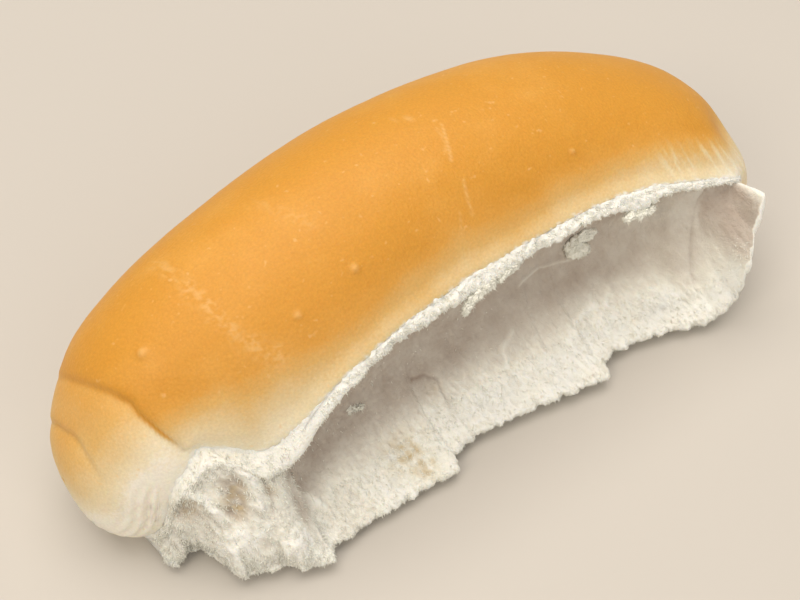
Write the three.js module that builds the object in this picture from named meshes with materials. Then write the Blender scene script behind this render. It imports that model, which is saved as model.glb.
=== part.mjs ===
// A hot dog bun pulled from its neighbour in the tray: a long soft loaf, browned on top, with a
// flat baked base. Its front is torn open from just under the crust down to a ragged skirt of
// crumb that lies close to the table. Millimetres, +Z up, the torn face towards -Y. The origin
// is on the flat base.
import * as THREE from "three";

// ---- Loaf ----
const HALF_LENGTH = 74;
// Ribs across the loaf. share is the way along the length, 0 at the left tip and 1 at the
// right. back and front are the widest points of the rib, crown its top, belly their height.
const RIBS = [
  { share: 0.0, back: 7.5, front: 7.5, crown: 15.0, belly: 15.0 },
  { share: 0.1, back: 18.0, front: -3.5, crown: 25.5, belly: 16.0 },
  { share: 0.2, back: 26.0, front: -10.0, crown: 39.0, belly: 17.0 },
  { share: 0.35, back: 32.0, front: -18.0, crown: 49.5, belly: 18.0 },
  { share: 0.5, back: 35.0, front: -17.5, crown: 53.0, belly: 18.5 },
  { share: 0.65, back: 33.0, front: -19.5, crown: 49.0, belly: 18.5 },
  { share: 0.8, back: 24.5, front: -22.5, crown: 39.5, belly: 18.0 },
  { share: 0.9, back: 15.5, front: -15.0, crown: 30.5, belly: 17.0 },
  { share: 1.0, back: 0.5, front: 0.5, crown: 16.0, belly: 16.0 },
];
const DOME_POWER = 2.1; // roundness of a rib above its belly: 2 is an ellipse
const UNDER_POWER = 2.5; // and below it, where it is squarer
const BASE_SINK = 1.08; // how far the round underside is pressed into the tray, times its depth
const END_LIFT = 14; // half width under which an end lifts clear of the tray
const LEAST_RISE = 0.001;

// ---- Tear ----
// Each outline below is a list of [x, value].
const TORN_FROM = [-66.8, -65.2]; // the tear opens between these two places along the loaf
const TORN_TO = [61.6, 64.2]; // and closes between these
// Height of the broken edge of the crust.
const RIM_HEIGHT = [
  [-66, 3], [-64, 8.6], [-62, 18], [-58, 24], [-54.7, 27.3], [-51, 26], [-46.6, 23.8], [-39, 27.4],
  [-34, 30.6], [-28, 33.2], [-17, 35.4], [0, 36.2], [17, 36.4], [28.5, 36], [40, 34.2], [52, 31],
  [57, 29], [62, 26.5], [66, 24],
];
// How far out the ragged skirt of crumb reaches at the foot of the tear, with its three steps.
const SKIRT_REACH = [
  [-67, -7], [-66.4, -9], [-65.8, -10.2], [-65, -10.7], [-63.6, -10.6], [-62, -10.1],
  [-60.4, -11.8], [-58.9, -14.6], [-57.9, -18], [-57.2, -21.2], [-56.4, -21], [-54, -22.4],
  [-51, -23.2], [-48.3, -25.4], [-45.4, -27.4], [-42.6, -28], [-41.4, -26], [-40.2, -25.4],
  [-38.8, -26], [-34, -25.4], [-27, -26], [-20, -26.4], [-13.8, -27], [-12.2, -23.6], [-8, -23.2],
  [3, -24.9], [11.5, -26.6], [22.6, -28.4], [24.4, -25.2], [27, -24.9], [37, -26.9], [45, -29.2],
  [48, -31.4], [50, -32], [52.8, -33], [55, -33.6], [57.1, -31.4], [58.8, -29.8],
  [61.1, -27.9], [64, -27],
];
// Height of the skirt's lower edge. At the right it stands up as a flap, as high as the rim.
const SKIRT_HEIGHT = [
  [-69, 1.2], [-66, 1.6], [-60, 2.4], [-40, 2.2], [-13, 2.4], [0, 2.8], [24, 2.8], [45, 2.4],
  [50, 3], [52.8, 4.6], [54.1, 8.6], [55, 11.8], [57.1, 15.4], [58.8, 17.8], [60, 21.6],
  [61.1, 24.2],
];
// Thickness of its edge, measured upright.
const SKIRT_THICKNESS = [[-66, 1.1], [-60, 1.3], [50, 1.3], [54, 3.9], [62, 3.9]];
// Width of the pale strip where the crust broke, widest where it turns into the ridge.
const LIP_WIDTH = [
  [-66, 1], [-58, 1.2], [-52, 2], [-47, 4.8], [-42, 4.4], [-36, 2.7], [-28, 2], [-18, 1.9],
  [-8, 2], [-4, 2.5], [6, 2.4], [11, 2], [22, 2], [30, 2.1], [33.5, 3], [37, 3.8], [39.5, 3],
  [42, 1.8], [50, 1.5], [60, 1.3], [64, 1],
];
// How far the broken edge stands out over the fluffy crumb at the left.
const LIP_SHELF = [[-66, 0.5], [-60, 1.4], [-54, 2.6], [-49, 2.2], [-45, 0.6], [-40, 0]];
// How hollow the torn face is, 0 where the crumb bulges and 1 in the middle of the scoop.
const SCOOP_SHARE = [
  [-66, 0], [-50, 0], [-46.5, 0.12], [-41, 0.72], [-34, 1], [36, 1], [44, 0.85], [48, 0.55],
  [54, 0.42], [60, 0.3], [62, 0],
];
const SCOOP_DEPTH = 11; // how far in the control points of the scoop's curve are set
const SCOOP_BACK = -3; // no control point lies further in than this
const CRUMB_BULGE = 2.5; // how far the fluffy crumb at the left stands out instead
const LIP_TURN = Math.PI * 0.62; // how far round the pale strip rolls
const LIP_OUT = 0.42; // its bulge and its drop, as shares of its width
const LIP_DROP = 0.92;
const UNDERCUT = 0.9; // how far the scoop is cut in just below the strip
const CRUST_FLARE = { out: 0.8, up: 0.6, from: 0.84 }; // the crust's last stretch turns out
// by these shares, and turns in by the folds at the left
const FLARE_SHARE = [
  [-66, 0.2], [-58, -0.6], [-54, -1.5], [-49, -1.2], [-44, 0.5], [-38, 1], [60, 1], [64, 0.5],
];
const BASE_INSET = 12; // from the skirt's edge in to where the base meets the table
const FLAP_FROM = [50, 60]; // over this stretch the skirt rises into the flap
const FLAP_BACK = [-17, 8]; // y and z that the back of the flap bends round

// ---- Folds and relief ----
// Two folds run across the left end as low arches. Each arch and its depth are given over y. The
// dome stands over the upper one as a brow, and the crust swells a little below it.
const UPPER_FOLD = {
  arch: [
    [-12, 23.5], [-10.4, 25.8], [-8.3, 29], [-6.5, 31], [-4.5, 32.8], [-2, 34.4], [0.1, 35.5],
    [2.7, 35.6], [6, 34.9], [12, 32.2], [18, 27.6], [26, 17.5],
  ],
  depth: [[-12, 1.3], [-5, 1.5], [0, 1.2], [6, 0.9], [12, 0.65], [18, 0.4], [25, 0]],
  brow: 0.35,
  swell: 0.15,
};
const LOWER_FOLD = {
  arch: [[-10, 14], [-4.2, 20], [-1.6, 22.5], [2, 24.6], [6, 25.6], [10.7, 24.1], [14, 22], [22, 14]],
  depth: [[-4, 0], [0, 0.35], [5, 0.8], [12, 0.8], [18, 0.4], [23, 0]],
  brow: 0,
  swell: 0,
};
const FOLD_WIDTH = { above: 0.45, below: 1.5, brow: 2.5, rise: 5.5 };
const FOLD_END = [-46, -56]; // the folds come in over this stretch, towards the left tip
// Rounds of the crust, as centre, reach and height: the foot of the left end, a pale lobe behind
// the flap and the dimple above it.
const CRUST_ROUNDS = [
  { at: [-70.5, 1, 6.5], reach: 8, height: 1.1 },
  { at: [67.5, -17, 21], reach: 7, height: 1 },
  { at: [67, -12.5, 31.5], reach: 5, height: -1.3 },
];
// Rounds of the crumb: a lump under the broken edge, and the hollows and ridges of the fluffy part.
const CRUMB_ROUNDS = [
  { at: [28.6, -10.6, 22.2], reach: 1.8, height: 3.2 },
  { at: [26.2, -10.6, 24.8], reach: 1.3, height: 1.4 },
  { at: [-60.7, -11.8, 16], reach: 2.3, height: -1.6 },
  { at: [-58, -14.4, 17.8], reach: 1.5, height: 1.4 },
  { at: [-54, -15.6, 18.6], reach: 2.4, height: -2.6 },
  { at: [-50.6, -17, 19], reach: 1.6, height: 1.4 },
  { at: [-47.8, -18.2, 17.4], reach: 1.2, height: -1 },
  { at: [-45.6, -18.4, 18], reach: 1.5, height: 1.3 },
  { at: [-55, -19, 10], reach: 2.6, height: 1 },
  { at: [-50, -22.5, 9], reach: 1.5, height: -0.8 },
  { at: [-46.5, -24, 8], reach: 2.5, height: 0.9 },
];
const RELIEF_FLOOR = 4; // relief fades out below this height, so that the base stays flat
const CRUMB_WAVES = [
  { along: 0.42, down: 0.35, turn: 0.4, height: 0.34 },
  { along: -0.9, down: 0.62, turn: 2.1, height: 0.22 },
  { along: 1.75, down: -1.1, turn: 4.0, height: 0.14 },
];
const SKIRT_RAGS = [
  { along: 1.9, turn: 0.3, height: 0.35 },
  { along: 3.3, turn: 1.2, height: 0.3 },
];

// ---- Mesh ----
const STATIONS = 108; // sections along the loaf, the two tips included
const COLUMNS = { base: 4, back: 11, dome: 13, lip: 3, scoop: 16, edge: 1, under: 4 };
// Where each stretch of the torn face starts on the plain arc that it fades into at its ends.
const PLAIN_START = { lip: 0, scoop: 0.12, edge: 0.8, under: 0.85, end: 1 };
const CRUST_COLOUR = 0xe6a04a;

// ---- Curves ----
const clamp = (v, low, high) => Math.min(high, Math.max(low, v));
const mix = (a, b, t) => a + (b - a) * t;
const signedPower = (v, power) => Math.sign(v) * Math.abs(v) ** power;

function smooth(v, from, to) {
  const t = clamp((v - from) / (to - from), 0, 1);
  return t * t * (3 - 2 * t);
}

// The place of v between two neighbours of a rising list of knots.
function locate(v, knots) {
  const at = clamp(v, knots[0], knots[knots.length - 1]);
  let i = 0;
  while (i < knots.length - 2 && at > knots[i + 1]) i++;
  const gap = knots[i + 1] - knots[i];
  return { i, gap, t: (at - knots[i]) / gap };
}

// A cubic between two values with the slopes m0 and m1.
function cubic({ gap, t }, v0, v1, m0, m1) {
  const r = 1 - t;
  return (
    (1 + 2 * t) * r * r * v0 + t * r * r * gap * m0 + t * t * (3 - 2 * t) * v1 - t * t * r * gap * m1
  );
}

// A curve through an outline's points that never overshoots them.
function through(points, v) {
  const place = locate(v, points.map(([x]) => x));
  const slope = (k) => (points[k + 1][1] - points[k][1]) / (points[k + 1][0] - points[k][0]);
  const tangent = (k) => {
    if (k === 0) return slope(0);
    if (k === points.length - 1) return slope(k - 1);
    const [a, b] = [slope(k - 1), slope(k)];
    return a * b > 0 ? (2 * a * b) / (a + b) : 0;
  };
  const { i } = place;
  return cubic(place, points[i][1], points[i + 1][1], tangent(i), tangent(i + 1));
}

// One measure of the ribs at a share of the length, as a smooth curve that is round at the tips.
function ribMeasure(key, share) {
  const knots = RIBS.map((rib) => rib.share);
  const values = RIBS.map((rib) => rib[key]);
  const last = RIBS.length - 1;
  const inner = (k) => (values[k + 1] - values[k - 1]) / (knots[k + 1] - knots[k - 1]);
  const tangent = (k) => {
    if (k === 0) return (2 * (values[1] - values[0])) / knots[1] - inner(1);
    if (k < last) return inner(k);
    return (2 * (values[k] - values[k - 1])) / (knots[k] - knots[k - 1]) - inner(k - 1);
  };
  const place = locate(share, knots);
  const { i } = place;
  return cubic(place, values[i], values[i + 1], tangent(i), tangent(i + 1));
}

// ---- Sections ----
const lengthwise = (share) => -HALF_LENGTH * Math.cos(Math.PI * share);
const tornShare = (x) => smooth(x, ...TORN_FROM) * (1 - smooth(x, ...TORN_TO));

// The plain loaf at a share of its length: a round of squared ellipses over a flat chord.
function rib(share) {
  const back = ribMeasure("back", share);
  const front = ribMeasure("front", share);
  const belly = ribMeasure("belly", share);
  const half = (back - front) / 2;
  const middle = (back + front) / 2;
  const rise = Math.max(ribMeasure("crown", share) - belly, LEAST_RISE);
  const drop = BASE_SINK * belly * Math.min(1, half / END_LIFT);
  const pressed = Math.min(0.985, belly / drop);
  const chord = half * (1 - pressed ** UNDER_POWER) ** (1 / UNDER_POWER);
  const floor = Math.max(0, belly - drop * pressed);
  const lowest = -Math.asin(pressed ** (UNDER_POWER / 2));
  // side is 1 at the back and -1 at the front, turn runs from the chord to the crown.
  const at = (side, turn) => {
    const sine = Math.sin(turn);
    const power = sine > 0 ? DOME_POWER : UNDER_POWER;
    const y = middle + side * half * signedPower(Math.cos(turn), 2 / power);
    return [y, belly + (sine > 0 ? rise : drop) * signedPower(sine, 2 / power)];
  };
  const turnAtHeight = (z) => {
    const above = z > belly;
    const part = (z - belly) / (above ? rise : drop);
    return Math.asin(clamp(signedPower(part, (above ? DOME_POWER : UNDER_POWER) / 2), -0.97, 0.97));
  };
  return { middle, belly, rise, chord, floor, lowest, at, turnAtHeight };
}

// A share for each column of a stretch, with its share of the plain arc beside it.
function stretchShares(zone, next) {
  return Array.from({ length: COLUMNS[zone] }, (_, k) => {
    const t = k / COLUMNS[zone];
    return { t, plain: mix(PLAIN_START[zone], PLAIN_START[next], t) };
  });
}

// The pale strip that hangs from the broken crust.
function lipPath(x, edge) {
  const lip = through(LIP_WIDTH, x);
  const shelf = through(LIP_SHELF, x);
  return stretchShares("lip", "scoop").map(({ t, plain }) => {
    const out = LIP_OUT * lip * Math.sin(t * LIP_TURN) + shelf * Math.sin((t * Math.PI) / 2);
    return { plain, y: edge[0] - out, z: edge[1] - LIP_DROP * lip * t };
  });
}

// The face below the strip, down the scoop or over the fluffy part, and out to the skirt's tip.
function scoopPath(x, edge, reach, tip) {
  const lip = through(LIP_WIDTH, x);
  const hollow = through(SCOOP_SHARE, x);
  const startY = edge[0] - LIP_OUT * lip * Math.sin(LIP_TURN) - through(LIP_SHELF, x);
  const startZ = edge[1] - LIP_DROP * lip;
  const fall = startZ - tip;
  const bulged = 0.72 * reach + 0.28 * startY - 0.8 * CRUMB_BULGE;
  const curve = new THREE.CubicBezierCurve(
    new THREE.Vector2(startY, startZ),
    new THREE.Vector2(
      startY + mix(-CRUMB_BULGE, SCOOP_DEPTH, hollow),
      startZ - fall * mix(0.34, 0.3, hollow),
    ),
    new THREE.Vector2(
      mix(bulged, Math.min(startY + 9.5, SCOOP_BACK), hollow),
      tip + fall * mix(0.3, 0.07, hollow),
    ),
    new THREE.Vector2(reach, tip),
  );
  return stretchShares("scoop", "edge").map(({ t, plain }) => {
    const p = curve.getPoint(t);
    const cut = UNDERCUT * hollow * smooth(t, 0, 0.025) * (1 - smooth(t, 0.03, 0.16));
    return { plain, y: p.x + cut, z: p.y };
  });
}

// The underside, from the skirt's lower edge in to the base.
function underPath(x, reach, foot, baseFront, floor) {
  const flap = smooth(x, ...FLAP_FROM);
  const curve = new THREE.QuadraticBezierCurve(
    new THREE.Vector2(reach, foot),
    new THREE.Vector2(mix((baseFront + reach) / 2, FLAP_BACK[0], flap), mix(0.25, FLAP_BACK[1], flap)),
    new THREE.Vector2(baseFront, floor),
  );
  return stretchShares("under", "end").map(({ t, plain }) => {
    const p = curve.getPoint(t);
    return { plain, y: p.x, z: p.y };
  });
}

// The torn face of one section, from the broken crust round the skirt to the base.
function tornPath(x, edge, baseFront, floor) {
  const rags = SKIRT_RAGS.reduce((sum, w) => sum + w.height * Math.sin(w.along * x + w.turn), 0);
  const reach = through(SKIRT_REACH, x) + rags;
  const foot = through(SKIRT_HEIGHT, x);
  const tip = foot + through(SKIRT_THICKNESS, x);
  const rounded = stretchShares("edge", "under").map(({ plain }) => ({ plain, y: reach, z: tip }));
  return [
    ...lipPath(x, edge),
    ...scoopPath(x, edge, reach, tip),
    ...rounded,
    ...underPath(x, reach, foot, baseFront, floor),
  ];
}

// The whole section as [y, z] points: base, back, dome down to the broken edge, torn face.
function section(share) {
  const x = lengthwise(share);
  const loaf = rib(share);
  const torn = tornShare(x);
  const turned = torn * through(FLARE_SHARE, x);
  const rimHeight = Math.min(through(RIM_HEIGHT, x), loaf.belly + 0.97 * loaf.rise);
  const rimTurn = loaf.turnAtHeight(rimHeight);
  const plainFront = loaf.middle - loaf.chord;
  const pulledFront = Math.min(plainFront, through(SKIRT_REACH, x) + BASE_INSET);
  const baseFront = mix(plainFront, pulledFront, torn);
  const points = [];
  for (let k = 0; k < COLUMNS.base; k++) {
    points.push([mix(baseFront, loaf.middle + loaf.chord, k / COLUMNS.base), loaf.floor]);
  }
  for (let k = 0; k < COLUMNS.back; k++) {
    points.push(loaf.at(1, mix(loaf.lowest, Math.PI / 2, k / COLUMNS.back)));
  }
  for (let k = 0; k < COLUMNS.dome; k++) {
    const t = k / COLUMNS.dome;
    const [y, z] = loaf.at(-1, mix(Math.PI / 2, rimTurn, t));
    const flare = turned * smooth(t, CRUST_FLARE.from, 1) ** 1.5;
    points.push([y - CRUST_FLARE.out * flare, z + CRUST_FLARE.up * flare]);
  }
  const [rimY, rimZ] = loaf.at(-1, rimTurn);
  const edge = [rimY - CRUST_FLARE.out * turned, rimZ + CRUST_FLARE.up * turned];
  for (const spot of tornPath(x, edge, baseFront, loaf.floor)) {
    const [y, z] = loaf.at(-1, mix(rimTurn, loaf.lowest, spot.plain));
    points.push([mix(y, spot.y, torn), mix(z, spot.z, torn)]);
  }
  return points.map(([y, z]) => new THREE.Vector3(x, y, z));
}

// Shares of the length that put the sections evenly along the loaf's outline.
function stationShares(count) {
  const fine = 2000;
  const run = [0];
  const spot = (share) => [lengthwise(share), ribMeasure("back", share), ribMeasure("crown", share)];
  for (let i = 1; i <= fine; i++) {
    const [a, b] = [spot((i - 1) / fine), spot(i / fine)];
    run.push(run[i - 1] + Math.hypot(b[0] - a[0], 0.5 * (b[1] - a[1]), 0.3 * (b[2] - a[2])));
  }
  return Array.from({ length: count }, (_, k) => {
    const goal = (run[fine] * k) / (count - 1);
    const i = Math.max(1, run.findIndex((length) => length >= goal - 1e-9));
    return (i - 1 + (goal - run[i - 1]) / (run[i] - run[i - 1])) / fine;
  });
}

// ---- Relief ----
// Height of the skin by a fold: a narrow crease under a brow, with a slow swell below it.
function foldRelief({ arch, depth, brow, swell }, point) {
  const under = through(arch, point.y) - point.z;
  const rise = Math.max(under, 0) / FOLD_WIDTH.rise;
  const above = -Math.exp(under / FOLD_WIDTH.above) + brow * Math.exp(under / FOLD_WIDTH.brow);
  const below = -Math.exp(-under / FOLD_WIDTH.below) + swell * rise * Math.exp(1 - rise);
  return through(depth, point.y) * (under > 0 ? below : above);
}

function roundRelief({ at, reach, height }, point) {
  return height * Math.exp(-((point.distanceTo(new THREE.Vector3(...at)) / reach) ** 2));
}

function crustRelief(point) {
  const folds = foldRelief(UPPER_FOLD, point) + foldRelief(LOWER_FOLD, point);
  const rounds = CRUST_ROUNDS.reduce((sum, round) => sum + roundRelief(round, point), 0);
  return smooth(point.x, ...FOLD_END) * folds + rounds;
}

function crumbRelief(point) {
  const rounds = CRUMB_ROUNDS.reduce((sum, round) => sum + roundRelief(round, point), 0);
  return CRUMB_WAVES.reduce(
    (sum, w) => sum + w.height * Math.sin(w.along * point.x + w.down * point.z + w.turn),
    rounds,
  );
}

// ---- Bun ----
// A closed skin of quads over the sections, with a single point at each tip.
function skin(sections) {
  const around = sections[0].length;
  const tip = (share) =>
    new THREE.Vector3(lengthwise(share), ribMeasure("back", share), ribMeasure("belly", share));
  const points = [tip(0), ...sections.flat(), tip(1)];
  const last = points.length - 1;
  const faces = [];
  const index = (i, j) => 1 + i * around + (j % around);
  for (let j = 0; j < around; j++) {
    faces.push(0, index(0, j + 1), index(0, j));
    faces.push(last, index(sections.length - 1, j), index(sections.length - 1, j + 1));
    for (let i = 0; i < sections.length - 1; i++) {
      faces.push(index(i, j), index(i + 1, j + 1), index(i + 1, j));
      faces.push(index(i, j), index(i, j + 1), index(i + 1, j + 1));
    }
  }
  const geometry = new THREE.BufferGeometry().setFromPoints(points);
  geometry.setIndex(faces);
  geometry.computeVertexNormals();
  return geometry;
}

// Pushes the skin along its normals by the folds, lobes and crumb, clear of the flat base.
function raiseRelief(geometry, around) {
  const place = geometry.getAttribute("position");
  const normal = geometry.getAttribute("normal");
  const rimColumn = COLUMNS.base + COLUMNS.back + COLUMNS.dome;
  const point = new THREE.Vector3();
  for (let i = 0; i < place.count; i++) {
    point.fromBufferAttribute(place, i);
    const column = (i - 1) % around;
    const crumb = i > 0 && column >= rimColumn && column < rimColumn + COLUMNS.lip + COLUMNS.scoop;
    const torn = crumb ? tornShare(point.x) : 0;
    const lift = mix(crustRelief(point), crumbRelief(point), torn) * smooth(point.z, 0, RELIEF_FLOOR);
    point.addScaledVector(new THREE.Vector3().fromBufferAttribute(normal, i), lift);
    place.setXYZ(i, point.x, point.y, point.z);
  }
  geometry.computeVertexNormals();
  return geometry;
}

function bun() {
  const sections = stationShares(STATIONS).slice(1, -1).map(section);
  const geometry = raiseRelief(skin(sections), sections[0].length);
  const crust = new THREE.MeshStandardMaterial({ color: CRUST_COLOUR, roughness: 0.5, metalness: 0 });
  const mesh = new THREE.Mesh(geometry, crust);
  mesh.name = "bun";
  return mesh;
}

const part = new THREE.Group();
part.add(bun());

export default part;
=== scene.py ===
"""A hot dog bun torn from its neighbour: browned crust, ragged crumb, and the studio round it.

The loaf is a soft skin over sections across its length, as in the part's source: ribs give the
plain loaf, and outlines along the length give the broken edge of the crust, the scoop below it
and the ragged skirt of crumb at its foot. Forms are worked out in millimetres and written in
metres.
"""

import logging
import math
from collections.abc import Iterable
from dataclasses import dataclass
from enum import Enum

import bpy
import numpy as np
from mathutils import Matrix, Vector, noise


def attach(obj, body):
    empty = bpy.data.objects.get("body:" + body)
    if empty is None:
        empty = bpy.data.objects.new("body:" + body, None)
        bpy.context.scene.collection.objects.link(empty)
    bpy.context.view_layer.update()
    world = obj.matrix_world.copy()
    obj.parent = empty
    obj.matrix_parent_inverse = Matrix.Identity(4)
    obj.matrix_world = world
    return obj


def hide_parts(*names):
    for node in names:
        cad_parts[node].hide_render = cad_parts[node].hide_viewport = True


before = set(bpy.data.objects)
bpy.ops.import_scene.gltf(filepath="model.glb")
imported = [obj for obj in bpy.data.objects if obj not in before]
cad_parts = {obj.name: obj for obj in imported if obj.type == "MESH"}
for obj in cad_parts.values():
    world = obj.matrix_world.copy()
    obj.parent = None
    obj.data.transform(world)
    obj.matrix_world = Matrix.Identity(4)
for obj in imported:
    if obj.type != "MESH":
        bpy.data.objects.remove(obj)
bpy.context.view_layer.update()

MM = 0.001
FINE = 4001  # points on a line that is only measured
CLEAR = 0.1  # how far crumb is kept off the table, in millimetres
LOG = logging.getLogger("bun")
Outline = tuple[tuple[float, float], ...]
Range = tuple[float, float]
Coordinates = tuple[np.ndarray, np.ndarray]


class Zone(Enum):
    """The stretches of a section in order round the bun, with their start on the plain arc below the rim."""

    BASE = ("base", 0.0)
    BACK = ("back", 0.0)
    DOME = ("dome", 0.0)
    LIP = ("lip", 0.0)
    SCOOP = ("scoop", 0.12)
    EDGE = ("edge", 0.8)
    UNDER = ("under", 0.85)


@dataclass(frozen=True)
class Stretch:
    """A run of columns over one zone, from one share of it to another."""

    zone: Zone
    count: int
    start: float = 0.0
    stop: float = 1.0

    def shares(self) -> np.ndarray:
        """The shares at which its columns stand, its far end left to the next stretch."""
        return self.start + (self.stop - self.start) * np.arange(self.count)[None, :] / self.count


class Slot(Enum):
    """Names for the bread's two materials."""

    CRUST = "crust"
    CRUMB = "crumb"


# ---------------------------------------------------------------------------------- curves


def smooth(value: np.ndarray, low: float, high: float) -> np.ndarray:
    """Ease from 0 at low to 1 at high.

    Args:
        value: numbers to ease.
        low: where the step starts.
        high: where it ends.

    Returns:
        The eased share, 0 to 1.
    """
    t = np.clip((value - low) / (high - low), 0.0, 1.0)
    return t * t * (3.0 - 2.0 * t)


def mix(a: np.ndarray, b: np.ndarray, t: np.ndarray) -> np.ndarray:
    """Blend from a to b by the share t."""
    return a + (b - a) * t


def signed_power(value: np.ndarray, power: np.ndarray) -> np.ndarray:
    """Raise the size of a number to a power and keep its sign."""
    return np.sign(value) * np.abs(value) ** power


def cubic(at: np.ndarray, knots: np.ndarray, values: np.ndarray, slopes: np.ndarray) -> np.ndarray:
    """Read a smooth curve given by values and slopes at its knots.

    Args:
        at: where to read it.
        knots: rising places.
        values: the curve's height at each knot.
        slopes: its slope there.

    Returns:
        The curve's height at each place asked for.
    """
    at = np.clip(at, knots[0], knots[-1])
    i = np.clip(np.searchsorted(knots, at) - 1, 0, len(knots) - 2)
    gap = knots[i + 1] - knots[i]
    t = (at - knots[i]) / gap
    r = 1.0 - t
    return (
        (1 + 2 * t) * r * r * values[i]
        + t * r * r * gap * slopes[i]
        + t * t * (3 - 2 * t) * values[i + 1]
        - t * t * r * gap * slopes[i + 1]
    )


def through(points: Outline, at: np.ndarray) -> np.ndarray:
    """Read a curve that goes through an outline's points and never overshoots them.

    Args:
        points: pairs of place and value.
        at: where to read the curve.

    Returns:
        Its value at each place.
    """
    knots, values = np.array(points, float).T
    steps = np.diff(values) / np.diff(knots)
    slopes = np.concatenate([steps[:1], np.zeros(len(knots) - 2), steps[-1:]])
    a, b = steps[:-1], steps[1:]
    same = a * b > 0
    slopes[1:-1][same] = 2 * a[same] * b[same] / (a[same] + b[same])
    return cubic(at, knots, values, slopes)


def run_along(steps: Iterable[np.ndarray]) -> np.ndarray:
    """Add up the way along a line.

    Args:
        steps: for each direction, the line's steps in it.

    Returns:
        The way up to each point, from 0 at the first.
    """
    return np.concatenate([[0.0], np.cumsum(np.sqrt(sum(step**2 for step in steps)))])


def perlin(
    points: np.ndarray, size: tuple[float, float, float], seed: float, octaves: int = 1
) -> np.ndarray:
    """Read soft noise at points in space.

    Args:
        points: places in millimetres, one to a row.
        size: the noise's grain along X, Y and Z, in millimetres.
        seed: a shift that makes each pattern its own.
        octaves: how many ever finer layers are added.

    Returns:
        A number from about -1 to 1 for each point.
    """
    scaled = points / np.array(size) + seed * 17.31
    read = noise.noise if octaves == 1 else lambda p: noise.fractal(p, 0.9, 2.0, octaves)
    return np.fromiter((read(Vector(p)) for p in scaled.tolist()), float, len(scaled))


@dataclass(frozen=True)
class Uneven:
    """Soft noise: its height, its grain along X, Y and Z in millimetres, its seed and finer layers."""

    height: float
    grain: tuple[float, float, float]
    seed: float
    octaves: int = 2

    def over(self, points: np.ndarray) -> np.ndarray:
        """The noise at points."""
        return self.height * perlin(points, self.grain, self.seed, self.octaves)


# ------------------------------------------------------------------------------------ form


@dataclass(frozen=True)
class Loaf:
    """The plain loaf, in millimetres: ribs across it, and how round they are."""

    half_length: float = 74.0
    share: tuple[float, ...] = (0.0, 0.1, 0.2, 0.35, 0.5, 0.65, 0.8, 0.9, 1.0)
    back: tuple[float, ...] = (7.5, 18.0, 26.0, 32.0, 35.0, 33.0, 24.5, 15.5, 0.5)
    front: tuple[float, ...] = (7.5, -3.5, -10.0, -18.0, -17.5, -19.5, -22.5, -15.0, 0.5)
    crown: tuple[float, ...] = (15.0, 25.5, 39.0, 49.5, 53.0, 49.0, 39.5, 30.5, 16.0)
    belly: tuple[float, ...] = (15.0, 16.0, 17.0, 18.0, 18.5, 18.5, 18.0, 17.0, 16.0)
    dome_power: float = 2.1
    under_power: float = 2.5
    base_sink: float = 1.08
    end_lift: float = 14.0

    def lengthwise(self, share: np.ndarray) -> np.ndarray:
        """Turn a share of the length into a place along X."""
        return -self.half_length * np.cos(np.pi * share)

    def measure(self, name: str, share: np.ndarray) -> np.ndarray:
        """Read one of the ribs' measures, as a curve that is round at both tips.

        Args:
            name: back, front, crown or belly.
            share: the way along the length.

        Returns:
            The measure in millimetres.
        """
        knots, values = np.array(self.share), np.array(getattr(self, name))
        slopes = np.empty_like(values)
        slopes[1:-1] = (values[2:] - values[:-2]) / (knots[2:] - knots[:-2])
        slopes[0] = 2 * (values[1] - values[0]) / (knots[1] - knots[0]) - slopes[1]
        slopes[-1] = 2 * (values[-1] - values[-2]) / (knots[-1] - knots[-2]) - slopes[-2]
        return cubic(share, knots, values, slopes)

    def stations(self, count: int, low: float, high: float) -> np.ndarray:
        """Share out sections evenly along the loaf's outline.

        Args:
            count: how many sections.
            low: X of the first.
            high: X of the last.

        Returns:
            Their shares of the length.
        """
        ends = [math.acos(-x / self.half_length) / math.pi for x in (low, high)]
        fine = np.linspace(*ends, FINE)
        steps = (
            np.diff(self.lengthwise(fine)),
            0.5 * np.diff(self.measure("back", fine)),
            0.3 * np.diff(self.measure("crown", fine)),
        )
        run = run_along(steps)
        return np.interp(np.linspace(0.0, run[-1], count), run, fine)


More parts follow.
